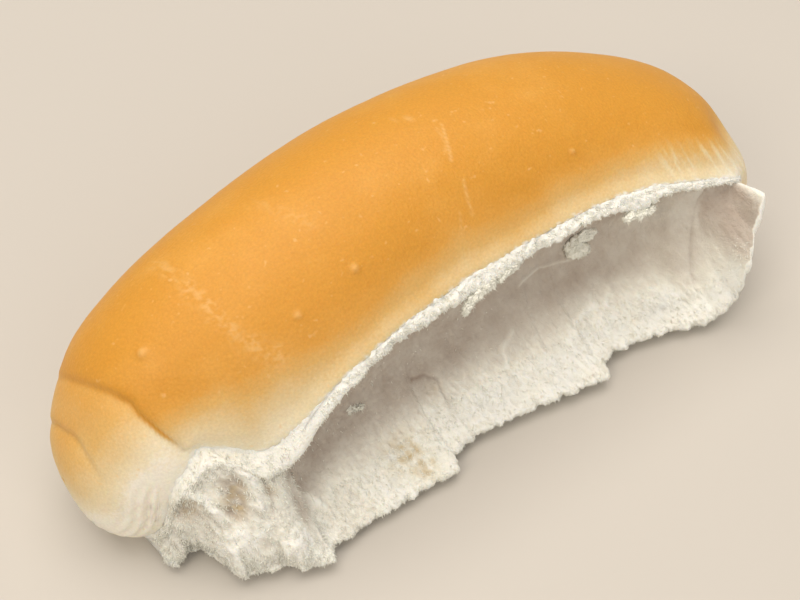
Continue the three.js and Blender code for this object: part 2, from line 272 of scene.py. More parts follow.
@dataclass(frozen=True)
class Tear:
    """The torn side, in millimetres. Each outline is a list of (x, value)."""

    opens: Range = (-66.8, -65.2)
    closes: Range = (61.6, 64.2)
    rim_height: Outline = (
        (-66, 3), (-64, 8.6), (-62, 18), (-58, 24), (-54.7, 27.3), (-51, 26), (-46.6, 23.8),
        (-39, 27.4), (-34, 30.6), (-28, 33.2), (-17, 35.4), (0, 36.2), (17, 36.4), (28.5, 36),
        (40, 34.2), (52, 31), (57, 29), (62, 26.5), (66, 24),
    )  # fmt: skip
    skirt_reach: Outline = (
        (-67, -7), (-66.4, -9), (-65.8, -10.2), (-65, -10.7), (-63.6, -10.6), (-62, -10.1),
        (-60.4, -11.8), (-58.9, -14.6), (-57.9, -18), (-57.2, -21.2), (-56.4, -21), (-54, -22.4),
        (-51, -23.2), (-48.3, -25.4), (-45.4, -27.4), (-42.6, -28), (-41.4, -26), (-40.2, -25.4),
        (-38.8, -26), (-34, -25.4), (-27, -26), (-20, -26.4), (-13.8, -27), (-12.2, -23.6), (-8, -23.2),
        (3, -24.9), (11.5, -26.6), (22.6, -28.4), (24.4, -25.2), (27, -24.9), (37, -26.9), (45, -29.2),
        (48, -31), (50, -31.4), (52.8, -32.2), (55, -32.6), (57.1, -30.5), (58.8, -29.2),
        (61.1, -27.9), (64, -27),
    )  # fmt: skip
    skirt_height: Outline = (
        (-69, 1.2), (-66, 1.6), (-60, 2.4), (-40, 2.2), (-13, 2.4), (0, 2.8), (24, 2.8), (45, 2.4),
        (50, 3), (52.8, 4.6), (54.1, 8.6), (55, 11.8), (57.1, 15.4), (58.8, 17.8), (60, 21.6), (61.1, 24.2),
    )  # fmt: skip
    skirt_thickness: Outline = ((-66, 1.1), (-60, 1.3), (50, 1.3), (54, 3.9), (62, 3.9))
    rags: Range = (0.75, 0.3)
    rag_grains: Range = (2.6, 0.8)
    lip_width: Outline = (
        (-66, 0.9), (-58, 1), (-53, 1.2), (-50, 2), (-47, 4.2), (-42, 4.2), (-36, 2.6), (-28, 2),
        (-18, 1.9), (-8, 2), (-4, 2.4), (6, 2.3), (11, 2), (22, 2), (30, 2.1), (33.5, 2.9), (37, 3.5),
        (39.5, 2.9), (42, 1.6), (50, 1.2), (60, 1), (64, 0.8),
    )  # fmt: skip
    scoop_share: Outline = (
        (-66, 0), (-50, 0), (-46.5, 0.12), (-41, 0.72), (-34, 1), (36, 1), (44, 0.85),
        (48, 0.55), (54, 0.42), (60, 0.3), (62, 0),
    )  # fmt: skip
    scoop_depth: float = 11.0
    scoop_back: float = -3.0
    crumb_bulge: float = 2.5
    lip_turn: float = math.pi * 0.62
    lip_out: float = 0.42
    lip_drop: float = 0.92
    lip_rags: Range = (0.45, 0.25)
    lip_rag_grains: Range = (1.7, 0.6)
    lip_rags_from: Range = (-36.0, -24.0)
    undercut: float = 0.9
    flare: Outline = (
        (-66, 0.2), (-58, -0.6), (-54, -1.5), (-49, -1.2), (-44, 0.5), (-38, 1), (60, 1), (64, 0.5),
    )  # fmt: skip
    flare_out: float = 0.8
    flare_up: float = 0.6
    flare_from: float = 0.84
    shelf: Outline = ((-66, 0.5), (-60, 1.4), (-54, 2.6), (-49, 2.2), (-45, 0.6), (-40, 0))
    base_inset: float = 12.0
    flap_from: Range = (50.0, 60.0)
    flap_back: Range = (-17.0, 8.0)

    def share(self, x: np.ndarray) -> np.ndarray:
        """How far the side is torn open at x, 0 to 1."""
        return smooth(x, *self.opens) * (1.0 - smooth(x, *self.closes))

    def along_skirt(self, x: np.ndarray) -> np.ndarray:
        """Measure along the skirt's foot line, so that its rags are as fine where it climbs.

        Args:
            x: places along the bun.

        Returns:
            The distance along the line up to each place.
        """
        fine = np.linspace(self.opens[0], self.closes[1], FINE)
        lines = (fine, through(self.skirt_reach, fine), through(self.skirt_height, fine))
        return np.interp(x, fine, run_along(np.diff(line) for line in lines))

    def stations(self, loaf: Loaf, count: int) -> np.ndarray:
        """Share out sections over the tear, closer together where its outlines climb.

        Args:
            loaf: sizes of the plain loaf.
            count: how many sections.

        Returns:
            Their shares of the length.
        """
        fine = np.linspace(self.opens[0] + 0.1, self.closes[1] - 0.1, FINE)
        skirt, rim = self.along_skirt(fine), through(self.rim_height, fine)
        run = run_along((0.5 * np.diff(skirt), 0.5 * np.diff(rim), np.diff(fine)))
        places = np.interp(np.linspace(0.0, run[-1], count), run, fine)
        return np.arccos(-places / loaf.half_length) / np.pi


class BunForm:
    """A skin of the bun as a grid of points: sections along the length, columns round them."""

    def __init__(self, loaf: Loaf, tear: Tear, shares: np.ndarray, stretches: tuple[Stretch, ...]) -> None:
        """Work out the plain grid.

        Args:
            loaf: sizes of the plain loaf.
            tear: sizes of the torn side.
            shares: the sections' shares of the length.
            stretches: the runs of columns round each section.
        """
        self.loaf = loaf
        self.tear = tear
        self.share = shares[:, None]
        self.x = loaf.lengthwise(self.share)
        self.torn = tear.share(self.x)
        self.zones = np.concatenate([np.full(s.count, list(Zone).index(s.zone)) for s in stretches])
        self.t = np.concatenate([s.shares()[0] for s in stretches])
        self._measure()
        makers = {
            Zone.BASE: self._base,
            Zone.BACK: self._back,
            Zone.DOME: self._dome,
            Zone.LIP: self._lip,
            Zone.SCOOP: self._scoop,
            Zone.EDGE: self._edge,
            Zone.UNDER: self._under,
        }
        parts = [makers[s.zone](s.shares()) for s in stretches]
        self.points = np.concatenate([self._spread(*part) for part in parts], 1)

    def _spread(self, y: np.ndarray, z: np.ndarray) -> np.ndarray:
        """Points of a stretch, whose Y or Z may be alike in all sections."""
        return np.stack(np.broadcast_arrays(self.x, y, z), -1)

    def _measure(self) -> None:
        """Read the ribs and the tear's outlines at every section."""
        tear, x = self.tear, self.x
        back, front, crown, self.belly = (
            self.loaf.measure(name, self.share) for name in ("back", "front", "crown", "belly")
        )
        self.half = (back - front) / 2
        self.middle = (back + front) / 2
        self.rise = np.maximum(crown - self.belly, 0.001)
        self.drop = self.loaf.base_sink * self.belly * np.minimum(1, self.half / self.loaf.end_lift)
        pressed = np.minimum(0.985, self.belly / self.drop)
        power = self.loaf.under_power
        self.chord = self.half * (1 - pressed**power) ** (1 / power)
        self.floor = np.maximum(0.0, self.belly - self.drop * pressed)
        self.lowest = -np.arcsin(pressed ** (power / 2))
        self.rim_turn = self._turn_at(np.minimum(through(tear.rim_height, x), self.belly + 0.97 * self.rise))
        self.turned = self.torn * through(tear.flare, x)
        self.rim = self._arc(-1, self.rim_turn)
        self.rim = (self.rim[0] - tear.flare_out * self.turned, self.rim[1] + tear.flare_up * self.turned)
        ragged = self._rags(x, tear.lip_rag_grains, tear.lip_rags) * smooth(x, *tear.lip_rags_from)
        self.lip = through(tear.lip_width, x) + ragged
        self.hollow = through(tear.scoop_share, x)
        self.shelf = through(tear.shelf, x)
        rags = self._rags(tear.along_skirt(x), tear.rag_grains, tear.rags)
        self.reach = through(tear.skirt_reach, x) + rags
        self.foot = through(tear.skirt_height, x)
        self.tip = self.foot + through(tear.skirt_thickness, x)
        plain_front = self.middle - self.chord
        pulled = np.minimum(plain_front, through(tear.skirt_reach, x) + tear.base_inset)
        self.base_front = mix(plain_front, pulled, self.torn)

    @staticmethod
    def _rags(run: np.ndarray, grains: Range, heights: Range) -> np.ndarray:
        """Ragged steps along a run, coarse tags with finer teeth on them.

        Args:
            run: the way along it, in a column.
            grains: lengths of the tags and of the teeth.
            heights: how far each stands out.

        Returns:
            How far the edge stands out, in a column.
        """
        line = np.column_stack([run[:, 0], np.zeros(len(run)), np.zeros(len(run))])
        layers = zip(grains, heights, (3.0, 5.0))
        return sum(height * perlin(line, (grain, 1, 1), seed, 2) for grain, height, seed in layers)[:, None]

    def _arc(self, side: int, turn: np.ndarray) -> Coordinates:
        """Points on the plain loaf.

        Args:
            side: 1 at the back, -1 at the front.
            turn: the angle, 0 at the belly and a quarter turn at the crown.

        Returns:
            Their Y and Z.
        """
        sine = np.sin(turn)
        power = np.where(sine > 0, self.loaf.dome_power, self.loaf.under_power)
        y = self.middle + side * self.half * signed_power(np.cos(turn), 2 / power)
        return y, self.belly + np.where(sine > 0, self.rise, self.drop) * signed_power(sine, 2 / power)

    def _turn_at(self, height: np.ndarray) -> np.ndarray:
        """Find the angle at which the plain loaf has a height.

        Args:
            height: Z at each section.

        Returns:
            The angles, kept short of a quarter turn.
        """
        above = height > self.belly
        part = (height - self.belly) / np.where(above, self.rise, self.drop)
        power = np.where(above, self.loaf.dome_power, self.loaf.under_power)
        return np.arcsin(np.clip(signed_power(part, power / 2), -0.97, 0.97))

    # Each maker takes the shares t of its stretch, and gives Y and Z.

    def _base(self, t: np.ndarray) -> Coordinates:
        """The flat base, from the front to the back."""
        return mix(self.base_front, self.middle + self.chord, t), self.floor + 0 * t

    def _back(self, t: np.ndarray) -> Coordinates:
        """The back, from the base up to the crown."""
        return self._arc(1, mix(self.lowest, np.pi / 2, t))

    def _dome(self, t: np.ndarray) -> Coordinates:
        """The dome, from the crown down to the crust's broken edge.

        Args:
            t: shares of the stretch.

        Returns:
            Its Y and Z at each section.
        """
        y, z = self._arc(-1, mix(np.pi / 2, self.rim_turn, t))
        flare = self.turned * smooth(t, self.tear.flare_from, 1.0) ** 1.5
        return y - self.tear.flare_out * flare, z + self.tear.flare_up * flare

    def _torn(self, zone: Zone, t: np.ndarray, y: np.ndarray, z: np.ndarray) -> Coordinates:
        """Fade a stretch of the torn path into the plain arc where the side isn't torn.

        Args:
            zone: the stretch's zone.
            t: the shares of it.
            y: the torn path's Y.
            z: its Z.

        Returns:
            The Y and Z to use.
        """
        starts = [each.value[1] for each in Zone] + [1.0]
        at = list(Zone).index(zone)
        plain = self._arc(-1, mix(self.rim_turn, self.lowest, mix(starts[at], starts[at + 1], t)))
        return mix(plain[0], y, self.torn), mix(plain[1], z, self.torn)

    def _lip(self, t: np.ndarray) -> Coordinates:
        """The broken edge: a rounded strip of crumb that hangs from the crust.

        Args:
            t: shares of the stretch.

        Returns:
            Its Y and Z at each section.
        """
        tear = self.tear
        bulge = tear.lip_out * self.lip * np.sin(t * tear.lip_turn)
        y = self.rim[0] - bulge - self.shelf * np.sin(t * np.pi / 2)
        return self._torn(Zone.LIP, t, y, self.rim[1] - tear.lip_drop * self.lip * t)

    def _scoop(self, t: np.ndarray) -> Coordinates:
        """The torn face, from below the lip down the scoop and out to the skirt's tip.

        Args:
            t: shares of the stretch.

        Returns:
            Its Y and Z at each section.
        """
        tear, hollow, reach = self.tear, self.hollow, self.reach
        start_y = self.rim[0] - tear.lip_out * self.lip * math.sin(tear.lip_turn) - self.shelf
        start_z = self.rim[1] - tear.lip_drop * self.lip
        tip = self.tip
        fall = start_z - tip
        bulge = tear.crumb_bulge
        inner = np.minimum(start_y + 9.5, tear.scoop_back)
        ys = (
            start_y,
            start_y + mix(-bulge, tear.scoop_depth, hollow),
            mix(0.72 * reach + 0.28 * start_y - 0.8 * bulge, inner, hollow),
            reach,
        )
        zs = (start_z, start_z - fall * mix(0.34, 0.3, hollow), tip + fall * mix(0.3, 0.07, hollow), tip)
        under_lip = tear.undercut * hollow * smooth(t, 0.0, 0.025) * (1 - smooth(t, 0.03, 0.16))
        return self._torn(Zone.SCOOP, t, bezier(ys, t) + under_lip, bezier(zs, t))

    def _edge(self, t: np.ndarray) -> Coordinates:
        """The skirt's rounded edge."""
        y = self.reach - 0.45 * np.sin(np.pi * t)
        return self._torn(Zone.EDGE, t, y, mix(self.tip, self.foot, t))

    def _under(self, t: np.ndarray) -> Coordinates:
        """The underside, from the skirt's edge in to the base.

        Args:
            t: shares of the stretch.

        Returns:
            Its Y and Z at each section.
        """
        flap = smooth(self.x, *self.tear.flap_from)
        bend_y = mix((self.base_front + self.reach) / 2, self.tear.flap_back[0], flap)
        bend_z = mix(0.25, self.tear.flap_back[1], flap)
        y = bezier((self.reach, bend_y, self.base_front), t)
        return self._torn(Zone.UNDER, t, y, bezier((self.foot, bend_z, self.floor), t))

    def normals(self, closed: bool) -> np.ndarray:
        """Find the grid's outward normals.

        Args:
            closed: whether the columns make a closed ring, or else an open strip.

        Returns:
            One normal for each point.
        """
        if closed:
            round_it = np.roll(self.points, -1, 1) - np.roll(self.points, 1, 1)
        else:
            round_it = np.gradient(self.points, axis=1)
        across = np.cross(round_it, np.gradient(self.points, axis=0))
        return across / (np.linalg.norm(across, axis=-1, keepdims=True) + 1e-9)


def bezier(control: tuple[np.ndarray, ...], t: np.ndarray) -> np.ndarray:
    """Read a curve from its control values.

    Args:
        control: three or four values.
        t: how far along the curve.

    Returns:
        The curve's value at each t.
    """
    n = len(control) - 1
    return sum(math.comb(n, k) * (1 - t) ** (n - k) * t**k * c for k, c in enumerate(control))


# ---------------------------------------------------------------------------------- relief


@dataclass(frozen=True)
class Fold:
    """A fold across the left end, as an arch of (y, z): the dome bulges over it and a lobe swells below."""

    arch: Outline
    depth: Outline
    brow: float
    swell: float

    CREASE = (0.45, 1.5)  # how fast the crease fades above and below, in millimetres
    BROW = (2.5, 0.6)  # and the brow over it
    RISE = 5.5  # how far below the crease the lobe swells most

    def under(self, points: np.ndarray) -> np.ndarray:
        """How far points lie below the fold's arch."""
        return through(self.arch, points[:, 1]) - points[:, 2]

    def relief(self, points: np.ndarray) -> np.ndarray:
        """Find the height of the skin by the fold.

        Args:
            points: places in millimetres, one to a row.

        Returns:
            The height at each, in millimetres.
        """
        under = self.under(points)
        above = -np.exp(under / self.CREASE[0]) + self.brow * np.exp(under / self.BROW[0])
        rise = np.maximum(under, 0.0) / self.RISE
        below = -np.exp(-under / self.CREASE[1]) + self.brow * np.exp(-under / self.BROW[1])
        below += self.swell * rise * np.exp(1 - rise)
        return through(self.depth, points[:, 1]) * np.where(under > 0, below, above)


@dataclass(frozen=True)
class Bump:
    """A round rise or dimple: where, how wide and how high."""

    at: tuple[float, float, float]
    reach: float
    height: float

    def relief(self, points: np.ndarray) -> np.ndarray:
        """Its height at points, in millimetres."""
        away = np.linalg.norm(points - np.array(self.at), axis=1)
        return self.height * np.exp(-((away / self.reach) ** 2))


@dataclass(frozen=True)
class Groove:
    """A crack in the torn face, as a bent line of (x, z), with its width and depth."""

    line: Outline
    width: float
    depth: float

    def relief(self, points: np.ndarray) -> np.ndarray:
        """Its depth at points, in millimetres, as a negative height."""
        away = distance_to_line(points[:, [0, 2]], self.line)
        return -self.depth * np.exp(-((away / self.width) ** 2))


def distance_to_line(places: np.ndarray, line: Outline) -> np.ndarray:
    """Distance from flat places to a bent line.

    Args:
        places: two numbers to a row.
        line: the line's points.

    Returns:
        The distance of each place.
    """
    best = np.full(len(places), np.inf)
    for start, end in zip(np.array(line[:-1]), np.array(line[1:])):
        run = end - start
        t = np.clip(((places - start) @ run) / (run @ run), 0.0, 1.0)
        best = np.minimum(best, np.linalg.norm(places - start - t[:, None] * run, axis=1))
    return best


UPPER_FOLD = Fold(
    arch=(
        (-12, 23.5), (-10.4, 25.8), (-8.3, 29), (-6.5, 31), (-4.5, 32.8), (-2, 34.4), (0.1, 35.5),
        (2.7, 35.6), (6, 34.9), (12, 32.2), (18, 27.6), (26, 17.5),
    ),
    depth=((-12, 1.3), (-5, 1.5), (0, 1.2), (6, 0.9), (12, 0.65), (18, 0.4), (25, 0)),
    brow=0.35,
    swell=0.15,
)  # fmt: skip
LOWER_FOLD = Fold(
    arch=((-10, 14), (-4.2, 20), (-1.6, 22.5), (2, 24.6), (6, 25.6), (10.7, 24.1), (14, 22), (22, 14)),
    depth=((-4, 0), (0, 0.35), (5, 0.8), (12, 0.8), (18, 0.4), (23, 0)),
    brow=0.0,
    swell=0.0,
)
FOLD_END = (-46.0, -56.0)
END_LOBE = Bump((67.5, -17.0, 21.0), 7.0, 1.0)
END_DIMPLE = Bump((67.0, -12.5, 31.5), 5.0, -1.3)
FOOT_LOBE = Bump((-70.5, 1.0, 6.5), 8.0, 1.1)
BLISTERS = (
    Bump((-32.8, -8.2, 44.0), 0.7, 0.4),
    Bump((-56.0, 3.1, 41.0), 0.85, 0.6),
    Bump((27.7, -8.0, 44.9), 0.5, 0.4),
    Bump((17.1, 4.9, 52.0), 0.4, 0.2),
    Bump((-20.6, -7.4, 46.3), 0.75, 0.45),
    Bump((-47.3, 9.0, 44.5), 0.4, 0.2),
)
CRUMB_LUMPS = (
    Bump((-60.9, -11.6, 16.2), 2.4, -1.4),
    Bump((-55.0, -19.0, 10.0), 2.6, 0.8),
    Bump((-46.5, -24.0, 8.0), 2.5, 0.9),
    Bump((-66.0, -10.0, 3.0), 2.0, 0.4),
)
CRUMB_GROOVES = (
    Groove(((-11.8, 12.0), (-9.1, 11.2), (-6.9, 9.4), (-7.1, 5.9)), 0.35, 0.35),
    Groove(((28.5, 17.2), (24.5, 18.3), (20.7, 19.8), (15.6, 18.1)), 0.45, -0.35),
    Groove(((54.2, 30.0), (52.6, 25.7), (52.0, 21.9), (51.3, 16.9), (50.3, 11.9), (49.0, 6.0)), 0.3, 0.2),
    Groove(((47.7, 5.8), (44.0, 4.9), (40.0, 4.7), (34.9, 4.7)), 0.3, 0.12),
    Groove(((6.9, 6.7), (8.0, 8.9), (11.3, 10.4)), 0.5, -0.4),
    Groove(((20.8, 6.5), (25.8, 6.9), (30.9, 7.4)), 0.4, -0.35),
    Groove(((28.2, 5.3), (32.0, 6.4), (35.0, 8.4)), 0.4, -0.3),
    Groove(((-43.0, 14.7), (-42.6, 11.9), (-42.3, 9.2), (-39.1, 6.0)), 0.6, -0.6),
    Groove(((-60.0, 21.5), (-58.1, 19.3), (-56.7, 16.4), (-55.6, 14.9)), 0.7, -0.85),
    Groove(((-50.4, 22.5), (-49.8, 19.0), (-50.4, 15.5)), 0.9, -0.9),
    Groove(((-48.0, 20.5), (-47.6, 17.0), (-48.3, 14.5)), 0.6, 0.35),
    Groove(((-52.8, 20.8), (-53.4, 18.0), (-54.2, 15.6)), 1.5, 1.3),
)
# Spots of a darker yellow: yellowish crumb with painted shade, in the left patch's hollows and on a shaded
# stretch of the skirt near x = -20.
YELLOW_AND_SHADE_SPOTS = (
    Bump((-53.3, -15.1, 19.0), 2.6, 0.68),
    Bump((-54.0, -16.6, 16.4), 1.7, 0.8),
    Bump((-60.9, -11.6, 16.2), 2.6, 0.45),
    Bump((-47.3, -17.9, 17.2), 1.3, 0.5),
    Bump((-63.6, -10.2, 14.0), 1.1, 0.6),
    Bump((-20.4, -19.8, 5.2), 3.6, 0.85),
    Bump((-18.3, -24.4, 4.2), 2.4, 0.65),
    Bump((-8.4, -13.6, 8.9), 1.6, 0.3),
)
RELIEF_FLOOR = 4.0


class Relief:
    """What both skins share: their points one by one, and how far they are from the broken edge.

    Pairs of numbers are where something starts and where it is full, in millimetres along X unless
    the name says otherwise.
    """

    FOLDS_AT_RIM = 0.2
    FOLDS_FROM_RIM = (0.2, 2.8)
    INSET = 0.12
    DRIFT = Uneven(0.3, (26, 22, 22), 1.0)
    THIN_SKIRT_T = (0.6, 0.9)
    THIN_FLAP = (51.5, 53.5)
    THIN_FLAP_T = (0.35, 0.75)
    THIN_END = (58.0, 60.0)
    SHALLOW = 0.65
    SHALLOW_RIM = (10.0, 30.0)
    SHALLOW_FROM_RIM = (1.5, 5.0)

    def __init__(self, form: BunForm) -> None:
        """Keep the form and spread its values over single points.

        Args:
            form: the plain form to work on.
        """
        self.form = form
        self.rows, self.around = form.points.shape[:2]
        self.points = form.points.reshape(-1, 3)
        self.x, self.z = self.points[:, 0], self.points[:, 2]
        self.zone = np.tile(form.zones, self.rows)
        self.t = np.tile(form.t, self.rows)
        self.torn = np.repeat(form.torn[:, 0], self.around)
        self.to_rim = self._distance_to_rim()

    def within(self, *zones: Zone) -> np.ndarray:
        """Which points lie in any of the zones."""
        order = list(Zone)
        return np.isin(self.zone, [order.index(zone) for zone in zones])

    def plain(self) -> np.ndarray:
        """Add up folds, lobes and the slow unevenness that both skins have.

        Returns:
            Their height at each point, in millimetres.
        """
        p = self.points
        folded = smooth(self.x, *FOLD_END) * (UPPER_FOLD.relief(p) + LOWER_FOLD.relief(p))
        folded *= mix(self.FOLDS_AT_RIM, 1.0, smooth(self.to_rim, *self.FOLDS_FROM_RIM))
        bumps = sum(bump.relief(p) for bump in (END_LOBE, END_DIMPLE, FOOT_LOBE))
        return folded + bumps - self.INSET + self.DRIFT.over(p)

    def torn_features(self) -> np.ndarray:
        """Height of the torn face's lumps and grooves, in millimetres."""
        return sum(each.relief(self.points) for each in (*CRUMB_LUMPS, *CRUMB_GROOVES))

    def thin(self) -> np.ndarray:
        """Find where the bread is thin: along the skirt, and all over the flap.

        Returns:
            A share from 0 to 1 for each point.
        """
        face = self.within(Zone.SCOOP)
        skirt = np.where(face, smooth(self.t, *self.THIN_SKIRT_T), self.within(Zone.EDGE, Zone.UNDER))
        flap = smooth(self.x, *self.THIN_FLAP) * np.where(face, smooth(self.t, *self.THIN_FLAP_T), 0)
        return np.maximum(np.maximum(skirt, flap), smooth(self.x, *self.THIN_END))

    def depth(self, deep: Range) -> np.ndarray:
        """Find how deep a hidden skin lies, which is less by the right rim.

        Args:
            deep: its depth in thick bread and where the bread is thin.

        Returns:
            The depth at each point, in millimetres.
        """
        by_rim = smooth(self.x, *self.SHALLOW_RIM) * (1 - smooth(self.to_rim, *self.SHALLOW_FROM_RIM))
        return mix(deep[0] * (1 - self.SHALLOW * by_rim), deep[1], self.thin())

    def _distance_to_rim(self) -> np.ndarray:
        """Measure from every point to the crust's broken edge.

        Returns:
            The distances, in millimetres.
        """
        form = self.form
        rim = np.concatenate([form.x, *form.rim], 1)[form.torn[:, 0] > 0.5][::2]
        parts = np.array_split(self.points, 80)
        return np.concatenate([np.linalg.norm(part[:, None] - rim[None], axis=2).min(1) for part in parts])


class CrustRelief(Relief):
    """Everything that stands up from or sinks into the crust."""

    SINK = (2.4, 0.5)
    FINE_UNEVEN = Uneven(0.05, (5, 4, 4), 2.0)
    PUCKERS = 0.6
    PUCKERS_TO = (-60.0, -57.0)
    PUCKERS_Z = ((4.0, 9.0), (17.0, 23.0))
    PUCKERS_FROM_RIM = (1.6, 3.2)
    PUCKERS_FADE = (2.4, 3.5)  # from where, and over what distance
    PUCKERS_PER_MM = 3.1
    PUCKER_WANDER = Uneven(0.4, (3, 3, 5), 4.0, 1)
    STREAKS = 0.12
    STREAKS_FROM = (41.0, 51.0)
    STREAKS_FROM_RIM = (2.5, 10.5)
    STREAK_LINES = Uneven(1.0, (1.0, 9, 9), 6.0)
    STREAK_SLANT = 0.3
    STREAK_EDGE = (-0.05, 0.4)
    COVER_UNDER_T = (0.2, 0.5)

    def heights(self) -> np.ndarray:
        """Add up all that stands up from the crust or is pressed into it.

        Returns:
            The height at each point, in millimetres.
        """
        blisters = sum(bump.relief(self.points) for bump in BLISTERS)
        uneven = self.FINE_UNEVEN.over(self.points)
        return self.plain() + blisters + uneven + self._puckers() + self.STREAKS * self.streaks()

    def _puckers(self) -> np.ndarray:
        """Press thin upright creases into the crust beside the tear's left edge.

        Returns:
            Their height at each point, in millimetres.
        """
        foot, head = self.PUCKERS_Z
        beside = (1 - smooth(self.x, *self.PUCKERS_TO)) * smooth(self.z, *foot) * (1 - smooth(self.z, *head))
        start, over = self.PUCKERS_FADE
        fade = np.exp(-np.maximum(self.to_rim - start, 0.0) / over)
        beside *= smooth(self.to_rim, *self.PUCKERS_FROM_RIM) * fade
        wave = np.sin((self.to_rim + self.PUCKER_WANDER.over(self.points)) * self.PUCKERS_PER_MM)
        return self.PUCKERS * np.sign(wave) * np.abs(wave) ** 0.6 * beside

    def streaks(self) -> np.ndarray:
        """Draw pale stretch lines that run up from the broken edge at the right end.

        Returns:
            Their share at each point, 0 to 1.
        """
        near_rim = 1 - smooth(self.to_rim, *self.STREAKS_FROM_RIM)
        there = smooth(self.x, *self.STREAKS_FROM) * near_rim * self.within(Zone.DOME)
        share = np.zeros(len(self.points))
        near = there > 0.01
        slanted = self.points[near]
        slanted[:, 0] += self.STREAK_SLANT * slanted[:, 2]
        share[near] = there[near] * smooth(self.STREAK_LINES.over(slanted), *self.STREAK_EDGE)
        return share

    def raised(self) -> np.ndarray:
        """Raise the crust by all its relief, and sink it where the crumb's own skin covers it.

        Returns:
            The points, in millimetres.
        """
        torn_side = self.within(Zone.LIP, Zone.SCOOP, Zone.EDGE, Zone.UNDER)
        covered = np.where(self.within(Zone.UNDER), 1 - smooth(self.t, *self.COVER_UNDER_T), 1.0) * torn_side
        buried = covered * smooth(self.torn, 0.2, 0.9)
        sunk = np.minimum(self.torn_features(), 0.0) - self.depth(self.SINK)
        lift = mix(self.heights(), sunk, buried)
        lift *= smooth(self.z, 0.0, RELIEF_FLOOR)
        return self.points + self.form.normals(closed=True).reshape(-1, 3) * lift[:, None]


